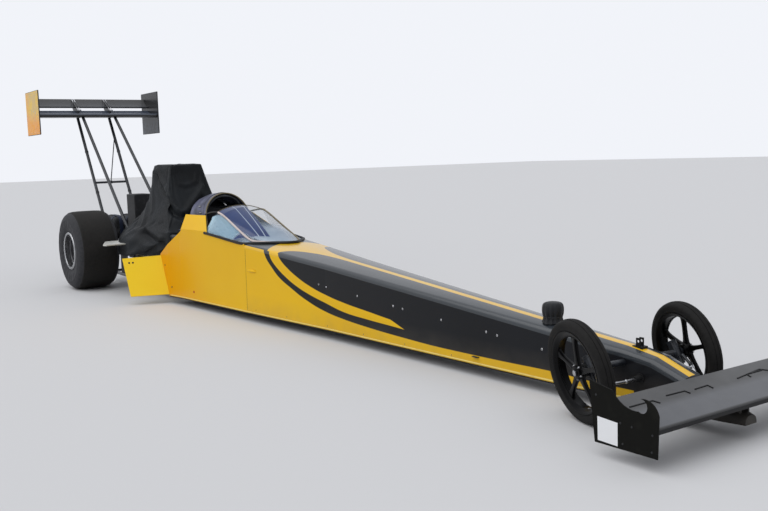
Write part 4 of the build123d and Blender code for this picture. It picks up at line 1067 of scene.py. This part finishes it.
SIDE_FOLDS = [
    (-0.014, 0.02, [(1.076, -0.221, 1.346), (1.159, -0.24, 1.229), (1.256, -0.257, 1.128),
                    (1.352, -0.277, 1.037)]),
    (0.016, 0.022, [(1.0, -0.22, 1.36), (1.06, -0.25, 1.18), (1.14, -0.28, 1.03), (1.2, -0.33, 0.93)]),
    (0.03, 0.028, [(1.203, -0.407, 0.766), (1.404, -0.417, 0.722), (1.56, -0.415, 0.69),
                   (1.7, -0.405, 0.665)]),
    (-0.044, 0.036, [(1.204, -0.419, 0.695), (1.429, -0.423, 0.645), (1.6, -0.42, 0.605),
                     (1.72, -0.41, 0.585)]),
    (0.02, 0.024, [(1.199, -0.414, 0.752), (1.028, -0.421, 0.685), (0.905, -0.426, 0.623),
                   (0.83, -0.44, 0.56)]),
    (-0.014, 0.014, [(1.279, -0.405, 0.772), (1.374, -0.377, 0.832)]),
    (-0.012, 0.014, [(1.5, -0.37, 0.8), (1.6, -0.355, 0.825)]),
    (0.02, 0.022, [(0.94, -0.29, 1.02), (0.995, -0.328, 0.935), (1.057, -0.372, 0.843),
                   (1.061, -0.409, 0.764), (0.932, -0.42, 0.691)]),
    (-0.018, 0.026, [(0.76, -0.31, 0.96), (0.775, -0.343, 0.899), (0.831, -0.393, 0.798),
                     (0.814, -0.421, 0.686)]),
    (0.018, 0.024, [(0.72, -0.33, 0.93), (0.651, -0.413, 0.754), (0.58, -0.44, 0.62)]),
    (0.012, 0.022, [(0.66, -0.34, 0.86), (0.54, -0.43, 0.6)]),
    (0.014, 0.03, [(0.72, -0.1, 0.9), (0.52, -0.14, 0.62)]),
    (-0.012, 0.034, [(0.74, 0.02, 0.9), (0.5, 0.06, 0.56)]),
    (0.012, 0.022, [(1.22, -0.46, 0.6), (1.3, -0.44, 0.46)]),
    (0.011, 0.022, [(1.4, -0.44, 0.6), (1.46, -0.43, 0.47)]),
    (0.011, 0.022, [(0.56, -0.45, 0.62), (0.6, -0.44, 0.46)]),
    (0.009, 0.024, [(1.56, -0.4, 0.6), (1.62, -0.4, 0.5)]),
    (0.006, 0.03, [(1.1, -0.2, 1.425), (1.44, 0.1, 1.425)]),
    (-0.005, 0.03, [(1.05, 0.16, 1.425), (1.3, -0.05, 1.425)]),
]
FAR_SIDE_SHIFT = Vector((0.02, 0, 0.012))


def from_line(place, start, end):
    """Distance from a straight line between two places."""
    along = end - start
    share = part_of_one((place - start).dot(along) / along.dot(along))
    return (place - start - along * share).length


def press_folds(made, folds, both_sides=True):
    """Push each fold into the cloth along its normals, on one side or on both."""
    mesh = made.data
    seated = [(height, width, [made.closest_point_on_mesh(at(*place))[1] for place in line])
              for height, width, line in folds]
    normals = [Vector(normal.vector) for normal in mesh.vertex_normals]
    for vert, normal in zip(mesh.vertices, normals):
        places = [vert.co.copy()]
        if both_sides:
            places.append(Vector((vert.co.x, -vert.co.y, vert.co.z)) + FAR_SIDE_SHIFT)
        rise = 0.0
        for place in places:
            for height, width, line in seated:
                if (place - line[0]).length > 4 * width + (line[-1] - line[0]).length * 1.6:
                    continue
                distance = min(from_line(place, start, end) for start, end in zip(line, line[1:]))
                if distance < 3 * width:
                    rise += height * bell(distance / width)
        vert.co += normal * rise


def panel_edge(z):
    """How far ahead the slanted rear edge of the cockpit's sides is at a height."""
    return 1.704 + (z - 0.5) * 1.88 if z > 0.5 else 1.704 + (0.5 - z) * 0.473


press_folds(cover, SIDE_FOLDS)
press_folds(cover, FRONT_FOLDS, both_sides=False)
for vert in points:
    ahead = vert.co.x - AXLE_X
    inside = ahead > min(panel_edge(vert.co.z), 2.0) - 0.04 or (ahead > 1.5 and vert.co.z < 0.5)
    limit = 0.406 if inside and vert.co.z < 0.79 else 0.6
    vert.co.y = max(-limit, min(limit, vert.co.y))
    if abs(vert.co.y) < 0.175 and 1.0 < ahead < 1.5:
        vert.co.z = max(vert.co.z, 1.417)

# %% Thickness, hem and size of the cover
hem_line = sorted((atan2(points[index].co.y, points[index].co.x + 2.05), index) for index in hem)
hem_places = [points[index].co.copy() for _, index in hem_line[::3]]
hem_cord = piece("engine_cover_hem", bent(hem_places, 0.0045, 8, closed=True), [olive_trim])
finer_and_thick(cover, 0.0025)
cloth_area(cover)

# %% [markdown]
# ## Pads, bags and straps
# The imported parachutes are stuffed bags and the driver's seat has thin cushions. Each starts as a
# divided box with rounded corners, slightly too small, and is blown up by cloth under pressure
# until its sides bulge. Flat straps are laid on afterwards by looking for the surface from
# outside. The loose pale blue cloth over the side padding is a divided box too, shaped by a
# formula.


# %% Blown-up shapes
def soft_box(low, high, cuts=14, power=6.0, turn=None):
    """A divided box with soft corners between two places."""
    bm = grid_box(cuts)
    middle = (Vector(low) + Vector(high)) / 2
    half = (Vector(high) - Vector(low)) / 2
    for vert in bm.verts:
        reach = max(abs(value) for value in vert.co)
        size = sum(abs(value) ** power for value in vert.co) ** (1 / power)
        vert.co = [value * reach / size * part for value, part in zip(vert.co, half)]
    if turn is not None:
        bmesh.ops.transform(bm, matrix=turn.to_4x4(), verts=bm.verts)
    bmesh.ops.translate(bm, vec=at(*middle), verts=bm.verts)
    return bm


def pad(name, shape, finish, stands_for=(), cap=0.012):
    """A cushion or bag: blown up under pressure, then made finer."""
    made = piece(name, shape, [finish], stands_for, crease=80)
    settle(made, 14, cap=cap, pressure=3.0, gravity=0.0, stiffness=10.0)
    finer_and_thick(made)
    return made


def lay_band(made, middle, first, second, lift=0.0015):
    """A flat strap around a soft piece, in the plane of two directions through a middle place."""
    bm = bmesh.new()
    first, second = Vector(first), Vector(second)
    across = first.cross(second)
    rows = []
    for angle in full_turn(48):
        way = first * cos(angle) + second * sin(angle)
        hit = look(made, middle + way * 1.2, -way)
        if hit:
            place = hit[0] + way * (lift + 0.002)
            rows.append([bm.verts.new(place + across * offset) for offset in (-0.022, 0.0, 0.022)])
    return thickened(skin(bm, closed_pairs(rows)), -0.0025)


# %% Parachute packs
PACK_MIDDLE = 0.098
PACK_REAR = -0.926
for side, name in SIDE_NAMES.items():
    y = side * PACK_MIDDLE
    inner, outer = sorted((side * 0.02, side * 0.176))
    shape = soft_box((-0.922, inner, 0.51), (-0.448, outer, 0.795), 16, 7.0)
    bag = pad(f"{name}_parachute_pack", shape, bag_cloth, ["parachute_packs"], cap=0.01)
    middle = at(-0.685, y, 0.652)
    webs = [lay_band(bag, middle + Vector((shift, 0, 0)), (0, 1, 0), (0, 0, 1)) for shift in (-0.13, 0.13)]
    webs.append(lay_band(bag, middle, (1, 0, 0), (0, 0, 1), lift=0.003))
    piece(f"{name}_pack_straps", joined(webs), [strap_web], crease=60)
    ring = [at(PACK_REAR, y + 0.026 * cos(angle), 0.7 + 0.026 * sin(angle)) for angle in full_turn(12)]
    pin = bar(at(PACK_REAR - 0.004, y, 0.67), at(PACK_REAR - 0.004, y, 0.615), 0.004, sides=10, soft=0.001)
    pull = joined([bent(ring, 0.0035, 8, closed=True), pin])
    piece(f"{name}_pack_ring", pull, [bright_steel])

# %% Seat cushions and head pads
back_lean = Matrix.Rotation(radians(-9.2), 4, "Y")
base_lean = Matrix.Rotation(radians(-5.9), 4, "Y")
back = soft_box((2.343, -0.15, 0.275), (2.377, 0.15, 0.735), 14, 8.0, back_lean)
pad("seat_back_cushion", back, navy_cloth)
base = soft_box((2.405, -0.15, 0.236), (2.725, 0.15, 0.268), 14, 8.0, base_lean)
pad("seat_base_cushion", base, navy_cloth)
pad("head_pad", soft_box((2.232, -0.15, 0.8), (2.285, 0.15, 1.0), 12, 5.0), bag_cloth)
for side, name in SIDE_NAMES.items():
    inner, outer = sorted((side * 0.168, side * 0.218))
    pad(f"{name}_head_pad", soft_box((2.25, inner, 0.8), (2.372, outer, 0.93), 10, 5.0), bag_cloth)

# %% Driver's straps and their buckle
SHOULDER = [(2.3, 0.1, 0.8), (2.345, 0.095, 0.7), (2.385, 0.08, 0.55), (2.44, 0.06, 0.4),
            (2.5, 0.02, 0.325)]
LAP = [(2.4, 0.162, 0.3), (2.425, 0.12, 0.325), (2.47, 0.06, 0.33), (2.5, 0.02, 0.325)]
STRAP_WIDTH = 0.05
straps = []
for side in SIDES:
    for half_route in (SHOULDER, LAP):
        route = [at(x, side * y, z) for x, y, z in half_route]
        strap = bmesh.new()
        rows = []
        for index, place in enumerate(route):
            along = route[min(index + 1, len(route) - 1)] - route[max(index - 1, 0)]
            across = along.cross(Vector((0.8, 0, 0.6))).normalized() * STRAP_WIDTH / 2
            rows.append([strap.verts.new(place + across), strap.verts.new(place - across)])
        skin(strap, zip(rows, rows[1:]))
        bmesh.ops.subdivide_edges(strap, edges=strap.edges, cuts=2, smooth=0.7, use_grid_fill=True)
        straps.append(thickened(strap, 0.0022))
piece("driver_straps", joined(straps), [strap_web], crease=50)
buckle = bar(at(2.497, 0, 0.322), at(2.513, 0, 0.336), 0.034, 0.03, sides=28, soft=0.003)
piece("driver_buckle", buckle, [bright_steel])

# %% Pale cloth over the side padding
WINDOW = [(2.64, 0.25, 0.958, 0.362, 0.757), (2.762, 0.245, 0.958, 0.355, 0.754),
          (2.87, 0.235, 0.94, 0.349, 0.745), (3.44, 0.235, 0.715, 0.314, 0.694)]
liner_bm = open_box(18)
for vert in liner_bm.verts:
    u, v, w = vert.co
    u, v = rounded(u, v, 4)
    x = 2.94 + 0.275 * u
    crease_y, crease_z, foot_y, foot_z = between(WINDOW, x)
    rise = (0.5 + 0.5 * w) * (0.96 - 0.16 * u * u)
    crumple = 0.006 * sin(24 * u + 9 * w) + 0.006 * sin(15 * w - 11 * u * v) + 0.004 * sin(40 * u + 3)
    depth = 0.03 - 0.02 * v + abs(crumple)
    y = foot_y + (crease_y - foot_y) * rise - depth
    vert.co = at(x, -y, foot_z + 0.006 + (crease_z - foot_z) * rise * 0.94 - 0.3 * abs(crumple))
liner = piece("side_liner_cloth", liner_bm, [sky_cloth], crease=70)
finer_and_thick(liner, 0.002)
cloth_area(liner)

# %% [markdown]
# The filler neck on the nose wears a small black sack, tied at its waist. Its plan is a spun
# profile with a hem that flares, and pleats that are deepest at the tie and fade towards the top.

# %% Sack over the filler neck
SACK = [(0.0, 0.1225), (0.02, 0.1222), (0.04, 0.1205), (0.053, 0.1165), (0.0605, 0.108), (0.064, 0.095),
        (0.065, 0.08), (0.064, 0.066), (0.0615, 0.052), (0.0575, 0.04), (0.0545, 0.031), (0.0555, 0.023),
        (0.059, 0.015), (0.0625, 0.008), (0.065, 0.0035)]
SACK_FOOT = Vector((7.015, -0.024, 0.4213))
sack = bmesh.new()
profile = [sack.verts.new((radius, 0, height)) for radius, height in SACK]
spun_line(sack, profile, zip(profile, profile[1:]), (0, 0, 1), 72)
for vert in sack.verts:
    angle = atan2(vert.co.y, vert.co.x)
    tie = bell((vert.co.z - 0.033) / 0.03)
    pleat = 0.03 * sin(3 * angle + 0.4) + (0.025 + 0.06 * tie) * sin(13 * angle + 1.1)
    pleat += 0.03 * tie * sin(7 * angle)
    x, y = vert.co.x * (1 + pleat), vert.co.y * (1 + pleat)
    near_hem = 1 - min(1.0, vert.co.z / 0.03)
    fall = -0.0872 * x * near_hem
    crown = -1.6 * (y - 0.024) ** 2 * near_hem
    ground = 0.001 if vert.co.z < 0.012 else 0.0
    vert.co = at(*SACK_FOOT) + Vector((x, y, vert.co.z + fall + crown + ground))
filler_sack = piece("filler_sack", sack, [bag_cloth], ["fuel_filler"], crease=70)
finer_and_thick(filler_sack, 0.002)
waist = [at(*SACK_FOOT) + Vector((0.0565 * cos(angle), 0.0565 * sin(angle), 0.032))
         for angle in full_turn(16)]
sack_tie = piece("filler_sack_tie", bent(waist, 0.003, 8, closed=True), [rib_black])
cloth_area(filler_sack)

# %% [markdown]
# ## Small parts of the body
# Quarter-turn fasteners hold the panels, and thin seams, lips and a bonded scoop break up the
# long sides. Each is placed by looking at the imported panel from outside, so it sits on the
# surface whatever the panel's slope is.

# %% Fasteners on the sides
FASTENERS = [(4.61, 0.437), (4.713, 0.426), (5.134, 0.397), (5.577, 0.369), (5.686, 0.36), (6.103, 0.332),
             (6.541, 0.309), (6.64, 0.299), (7.02, 0.268), (7.36, 0.238)]
LOW_FASTENERS = [(3.62, 0.118), (4.12, 0.116), (4.71, 0.112), (5.2, 0.11), (5.7, 0.108), (6.2, 0.106)]
DARK_FASTENERS = [(1.819, 0.392), (1.962, 0.175)]


def side_point(side, x, z):
    """The body's side at a distance ahead of the axle and a height, with its outward direction."""
    start = at(x, side * 1.2, z)
    panels = [f"{SIDE_NAMES[side]}_nose_side", f"{SIDE_NAMES[side]}_cockpit_side", "nose_cap"]
    hits = [look(nodes[panel], start, (0, -side, 0)) for panel in panels]
    return min((hit for hit in hits if hit), key=lambda hit: (hit[0] - start).length)


def fastener(side, x, z, radius):
    """A low button with a slot, turned a little differently on each."""
    place, outward = side_point(side, x, z)
    button = dome(place - outward * 0.0004, outward, radius, 0.0024)
    turn = Matrix.Rotation(x * 9.0, 4, outward)
    slot = bar(Vector((-radius * 0.7, 0, 0)), Vector((radius * 0.7, 0, 0)), 0.0009, sides=6)
    lay = outward.to_track_quat("Z", "Y").to_matrix().to_4x4()
    moved(slot, Matrix.Translation(place + outward * 0.0019) @ turn @ lay)
    return [button, painted(slot, 1)]


bright, dark = [], []
for side in SIDES:
    for x, z in FASTENERS:
        bright += fastener(side, x, z, 0.0085)
    for x, z in LOW_FASTENERS:
        dark += fastener(side, x, z, 0.0045)
    for x, z in DARK_FASTENERS:
        dark += fastener(side, x, z, 0.0105)
piece("side_fasteners", joined(bright), [bright_steel, trim_black])
piece("dark_fasteners", joined(dark), [trim_black, bright_steel])
place, outward = side_point(-1, 2.424, 0.166)
plug = dome(place - outward * 0.001, outward, 0.014, 0.006)
piece("red_drain_plug", plug, [red_button])


# %% Seams, lips and a small scoop
def ribbon(places, width, lift, across):
    """A thin strip through places that carry their outward direction."""
    bm = bmesh.new()
    rows = [[bm.verts.new(place + outward * lift + across * offset) for offset in (-width / 2, width / 2)]
            for place, outward in places]
    return thickened(skin(bm, zip(rows, rows[1:])), lift * 0.8)


def spread(low, high, count):
    """Evenly spread values, both ends included."""
    return [low + (high - low) * index / (count - 1) for index in range(count)]


seams, lips = [], []
for side in SIDES:
    slanted = zip(spread(3.472, 3.478, 24), spread(0.105, 0.655, 24))
    rear_seam = [side_point(side, x, z) for x, z in slanted]
    seams.append(ribbon(rear_seam, 0.0028, 0.0007, Vector((1, 0, 0))))
    nose_seam = [side_point(side, 7.985, z) for z in spread(0.1, 0.2, 8)]
    seams.append(ribbon(nose_seam, 0.0026, 0.0007, Vector((1, 0, 0))))
    lip = [side_point(side, x, 0.0905) for x in spread(1.93, 7.95, 60)]
    lips.append(ribbon(lip, 0.009, 0.0022, Vector((0, 0, 1))))
piece("body_seams", joined(seams), [trim_black])
# The belly lip's pale yellow is a painted highlight along the rolled bottom edge of the sides.
piece("belly_lip", joined(lips), [lip_painted_highlight])

scoops = []
for side in SIDES:
    place, _ = side_point(side, 3.565, 0.465)
    blister = dome(Vector((0, 0, 0)), (0, side, 0), 0.085, 0.012, sides=28)
    bmesh.ops.scale(blister, vec=(1, 1, 0.17), verts=blister.verts)
    scoops.append(moved(blister, Matrix.Translation(place + Vector((0, -side * 0.002, 0)))))
piece("side_blisters", joined(scoops), [side_paint], crease=60)

tabs = []
for side in SIDES:
    place, _ = side_point(side, 6.445, 0.131)
    corners = [(-0.03, 0.0), (0.03, 0.0), (0.024, side * 0.02), (-0.024, side * 0.02)]
    outline = [place + Vector((x, y, 0.004)) for x, y in corners]
    tabs.append(plate(outline, 0.005, (0, 0, -1), 0.0012))
piece("jacking_tabs", joined(tabs), [frame_paint])

# %% Deflectors' folded lips and fasteners
lips, buttons = [], []
for side in SIDES:
    head = [(1.712, 0.484, 0.4303), (1.555, 0.468, 0.786)]
    foot = [(1.89, 0.096, 0.4303), (1.748, 0.094, 0.786)]
    for edge, radius in ((head, 0.0035), (foot, 0.0045)):
        start, end = (at(x + 0.0025, side * y, z) for x, z, y in edge)
        lips.append(bar(start, end, radius, sides=12))
    outer = [at(x + 0.0025, side * y, z) for x, z, y in (head[1], foot[1])]
    lips.append(bar(*outer, 0.003, sides=12))
    for y in (0.7, 0.735):
        hit = look(nodes["rear_deflectors"], at(2.4, side * y, 0.425), (-1, 0, 0))
        if hit:
            place, outward = hit
            buttons.append(dome(place - outward * 0.0005, outward, 0.0105, 0.004))
piece("deflector_edges", joined(lips), [deflector_paint])
piece("deflector_fasteners", joined(buttons), [trim_black])

# %% [markdown]
# ## Windshield and cockpit trim
# A rubber seal runs round the screen's foot. A strip covers the crease on each side and runs back
# to the cockpit's arch: the one on the driver's right is pale, a painted highlight along the crease,
# and the one on the left is olive. The arch's rim has a thin bright bead with two latches beside it.

# %% Screen seal and crease strips
NEAR_FOOT = [(2.705, -0.361, 0.766), (2.9, -0.351, 0.751), (3.1, -0.34, 0.731), (3.3, -0.329, 0.712),
             (3.44, -0.316, 0.7), (3.52, -0.262, 0.706), (3.6, -0.214, 0.709), (3.69, -0.13, 0.712),
             (3.79, -0.06, 0.7125), (3.805, 0.0, 0.7125)]
CREASE = [(2.79, 0.243, 0.957), (2.87, 0.238, 0.943), (3.14, 0.238, 0.834), (3.44, 0.239, 0.719),
          (3.52, 0.203, 0.716), (3.6, 0.168, 0.714), (3.7, 0.1, 0.711)]
ARCH_RAIL = [(2.474, 0.24, 0.93), (2.62, 0.25, 0.955), (2.762, 0.248, 0.964), (2.81, 0.243, 0.955)]
REAR_EDGE = [(-0.246, 0.96), (-0.17, 0.99), (-0.085, 1.01), (0.0, 1.0165), (0.085, 1.01),
             (0.17, 0.99), (0.246, 0.96)]
CREASE_TRIM = {-1: (0.01, 0.006, [crease_painted_highlight, rib_black]), 1: (0.0085, 0.0085, [olive_trim, olive_trim])}
far_foot = [(x, -y, z) for x, y, z in reversed(NEAR_FOOT[:-1])]
seal = bent([at(*place) for place in NEAR_FOOT + far_foot], 0.0135, 12)
piece("screen_seal", seal, [trim_black])
for side, name in SIDE_NAMES.items():
    strip_radius, rail_radius, trim = CREASE_TRIM[side]
    strip = bent([at(x, side * y, z) for x, y, z in CREASE], strip_radius, 12)
    rail = bent([at(x, side * y, z) for x, y, z in ARCH_RAIL], rail_radius, 12)
    piece(f"{name}_crease_strip", joined([strip, painted(rail, 1)]), trim, crease=60)
rear_bead = bent([at(2.764, y, z) for y, z in REAR_EDGE], 0.0038, 10)
piece("screen_rear_bead", rear_bead, [olive_trim])


# %% Arch rim and latches
def arch_place(share, grow=0.0, back=0.0):
    """A point on the arch's front rim; share runs from 0 at the right foot to 1 at the left."""
    half, foot, top = 0.24 + grow, 0.778, 1.13 + grow
    leg = top - half - foot
    curve = pi * half
    way = share * (2 * leg + curve)
    if way < leg:
        y, z = -half, foot + way
    elif way > leg + curve:
        y, z = half, foot + 2 * leg + curve - way
    else:
        angle = (way - leg) / half
        y, z = -half * cos(angle), foot + leg + half * sin(angle)
    return at(2.53 - 0.116 * (z - 0.768) / 0.362 - back, y, z)


rim = [arch_place(index / 40, -0.004) for index in range(41)]
piece("arch_bead", bent(rim, 0.0068, 12), [olive_trim], crease=60)
second = [arch_place(0.02 + 0.96 * index / 40, 0.0015, 0.055) for index in range(41)]
piece("arch_second_bead", bent(second, 0.0028, 8), [rib_black], crease=60)
latches = []
for side in SIDES:
    for height, reach in ((0.94, 2.36), (1.0, 2.3)):
        hit = look(nodes["cockpit_shroud"], at(reach, side * 0.9, height), (0, -side, 0))
        if hit:
            lay = Matrix.Translation(hit[0]) @ hit[1].to_track_quat("Z", "X").to_matrix().to_4x4()
            body = bmesh.new()
            bmesh.ops.create_cube(body, size=1)
            bmesh.ops.scale(body, vec=(0.018, 0.046, 0.01), verts=body.verts)
            softened(body, list(body.edges), 0.003, 3)
            latches.append(moved(body, lay))
            for along in (0.014, -0.014):
                screw = dome(Vector((0, along, 0.004)), (0, 0, 1), 0.006, 0.004)
                latches.append(painted(moved(screw, lay), 1))
piece("shroud_latches", joined(latches), [rib_black, bright_steel])

# %% Cap and screws of the steering wheel's hub
wheel_axis = Vector((-0.96, 0, 0.28))
hub = at(2.95, 0, 0.706)
caps = []
for angle in full_turn(6):
    across = Matrix.Rotation(angle, 4, wheel_axis) @ Vector((0, 0.021, 0))
    caps.append(dome(hub + across + wheel_axis * 0.0168, wheel_axis, 0.0042, 0.003))
caps.append(bar(hub + wheel_axis * 0.0245, hub + wheel_axis * 0.034, 0.017, 0.013, sides=28, soft=0.002))
piece("steering_hub_cap", joined(caps), [bright_steel], body="hand_wheel")

# %% [markdown]
# ## Wings
# On the real rear wing each bracket carries a short screw rod that sets the flap's angle, the end
# plates are edged with rivets, and a thin stay runs down beside the struts. The front wing has thin
# stepped brackets on its upper face, a black leading strip, and rivets and a blank sticker on its
# end plate.

# %% Rear wing trim
rods = []
for side in SIDES:
    for y in (side * 0.198, side * 0.226):
        top, foot = at(-1.742, y, 2.33), at(-1.478, y, 2.176)
        rods.append(painted(bar(top, foot, 0.0048, sides=14), 1))
        along = (foot - top).normalized()
        middle = (top + foot) / 2
        rods.append(bar(middle - along * 0.075, middle + along * 0.075, 0.0088, sides=16, soft=0.001))
        for end in (top, foot):
            half = Vector((0, 0.01, 0))
            rods.append(painted(bar(end - half, end + half, 0.0095, sides=16, soft=0.001), 1))
piece("flap_screw_rods", joined(rods), [frame_paint, bright_steel])

rivets, edges = [], []
for side in SIDES:
    outer_y = side * 0.794
    for x in spread(-1.82, -1.29, 9):
        for z in (1.885, 2.389):
            rivets.append(dome(at(x, outer_y, z), (0, side, 0), 0.005, 0.0022, sides=10))
    for share in (0.08, 0.35, 0.65, 0.92):
        place = at(-1.275 - 0.365 * share, outer_y, 2.104 + 0.084 * share)
        rivets.append(dome(place, (0, side, 0), 0.008, 0.0035, sides=12))
    corners = [(-1.856, 1.862), (-1.256, 1.862), (-1.256, 2.412), (-1.856, 2.412)]
    for start, end in closed_pairs([at(x, side * 0.787, z) for x, z in corners]):
        edges.append(bar(start, end, 0.0072, sides=10))
piece("end_plate_rivets", joined(rivets), [bright_steel])
piece("end_plate_edges", joined(edges), [rib_black])

clamp = []
for side in SIDES:
    for share in (0.3, 0.62):
        top, foot = Vector((-1.6, side * 0.212, 2.115)), Vector((-0.54, side * 0.2125, 0.472))
        middle = top + (foot - top) * share
        along = (foot - top).normalized() * 0.011
        clamp.append(bar(at(*(middle - along)), at(*(middle + along)), 0.0225, sides=24, soft=0.002))
piece("strut_collars", joined(clamp), [rib_black])
stay = bar(at(-1.388, 0.2, 1.786), at(-1.0226, 0.0, 1.232), 0.0065, sides=12)
collar = bar(at(-1.0226, -0.016, 1.22), at(-1.0226, 0.016, 1.22), 0.019, sides=24, soft=0.002)
piece("wing_thin_stay", joined([stay, collar]), [rib_black])

# %% Front wing trim
wing_tabs = []
TABS = [[(8.148, -0.669), (8.146, -0.505), (8.179, -0.487)], [(8.136, -0.391), (8.138, -0.254),
        (8.167, -0.248)], [(8.146, -0.185), (8.141, -0.078), (8.175, -0.078)], [(8.15, 0.157),
        (8.123, 0.388), (8.152, 0.423)]]
TABS += [[(x, -y) for x, y in tab] for tab in TABS[:2]]
for tab in TABS:
    for start, end in zip(tab, tab[1:]):
        line = []
        for share in spread(0, 1, 5):
            x, y = (a + share * (b - a) for a, b in zip(start, end))
            line.append(look(nodes["front_wing"], at(x, y, 0.6), (0, 0, -1)))
        line = [hit for hit in line if hit]
        if len(line) > 1:
            along = (line[-1][0] - line[0][0]).normalized()
            wing_tabs.append(ribbon(line, 0.006, 0.003, along.cross(line[0][1]).normalized()))
piece("front_wing_tabs", joined(wing_tabs), [trim_black])

hits = [look(nodes["front_wing"], at(8.7, y, 0.184), (-1, 0, 0)) for y in spread(-0.745, 0.745, 40)]
strip = ribbon([hit for hit in hits if hit], 0.02, 0.0016, Vector((0, 0, 1)))
piece("front_wing_nose_strip", strip, [trim_black])

PLATE_RIVETS = [(8.166, 0.195), (8.233, 0.191), (8.349, 0.178), (8.18, 0.1), (8.345, 0.1), (8.02, 0.3)]
STICKER = [(8.03, 0.084), (8.15, 0.081), (8.15, 0.192), (8.028, 0.199)]
rivets, stickers = [], []
for side in SIDES:
    rivets += [dome(at(x, side * 0.754, z), (0, side, 0), 0.0055, 0.0025, sides=12) for x, z in PLATE_RIVETS]
    stickers.append(plate([at(x, side * 0.7542, z) for x, z in STICKER], 0.0004, (0, side, 0)))
piece("front_plate_rivets", joined(rivets), [rib_black])
piece("blank_stickers", joined(stickers), [white_sticker])
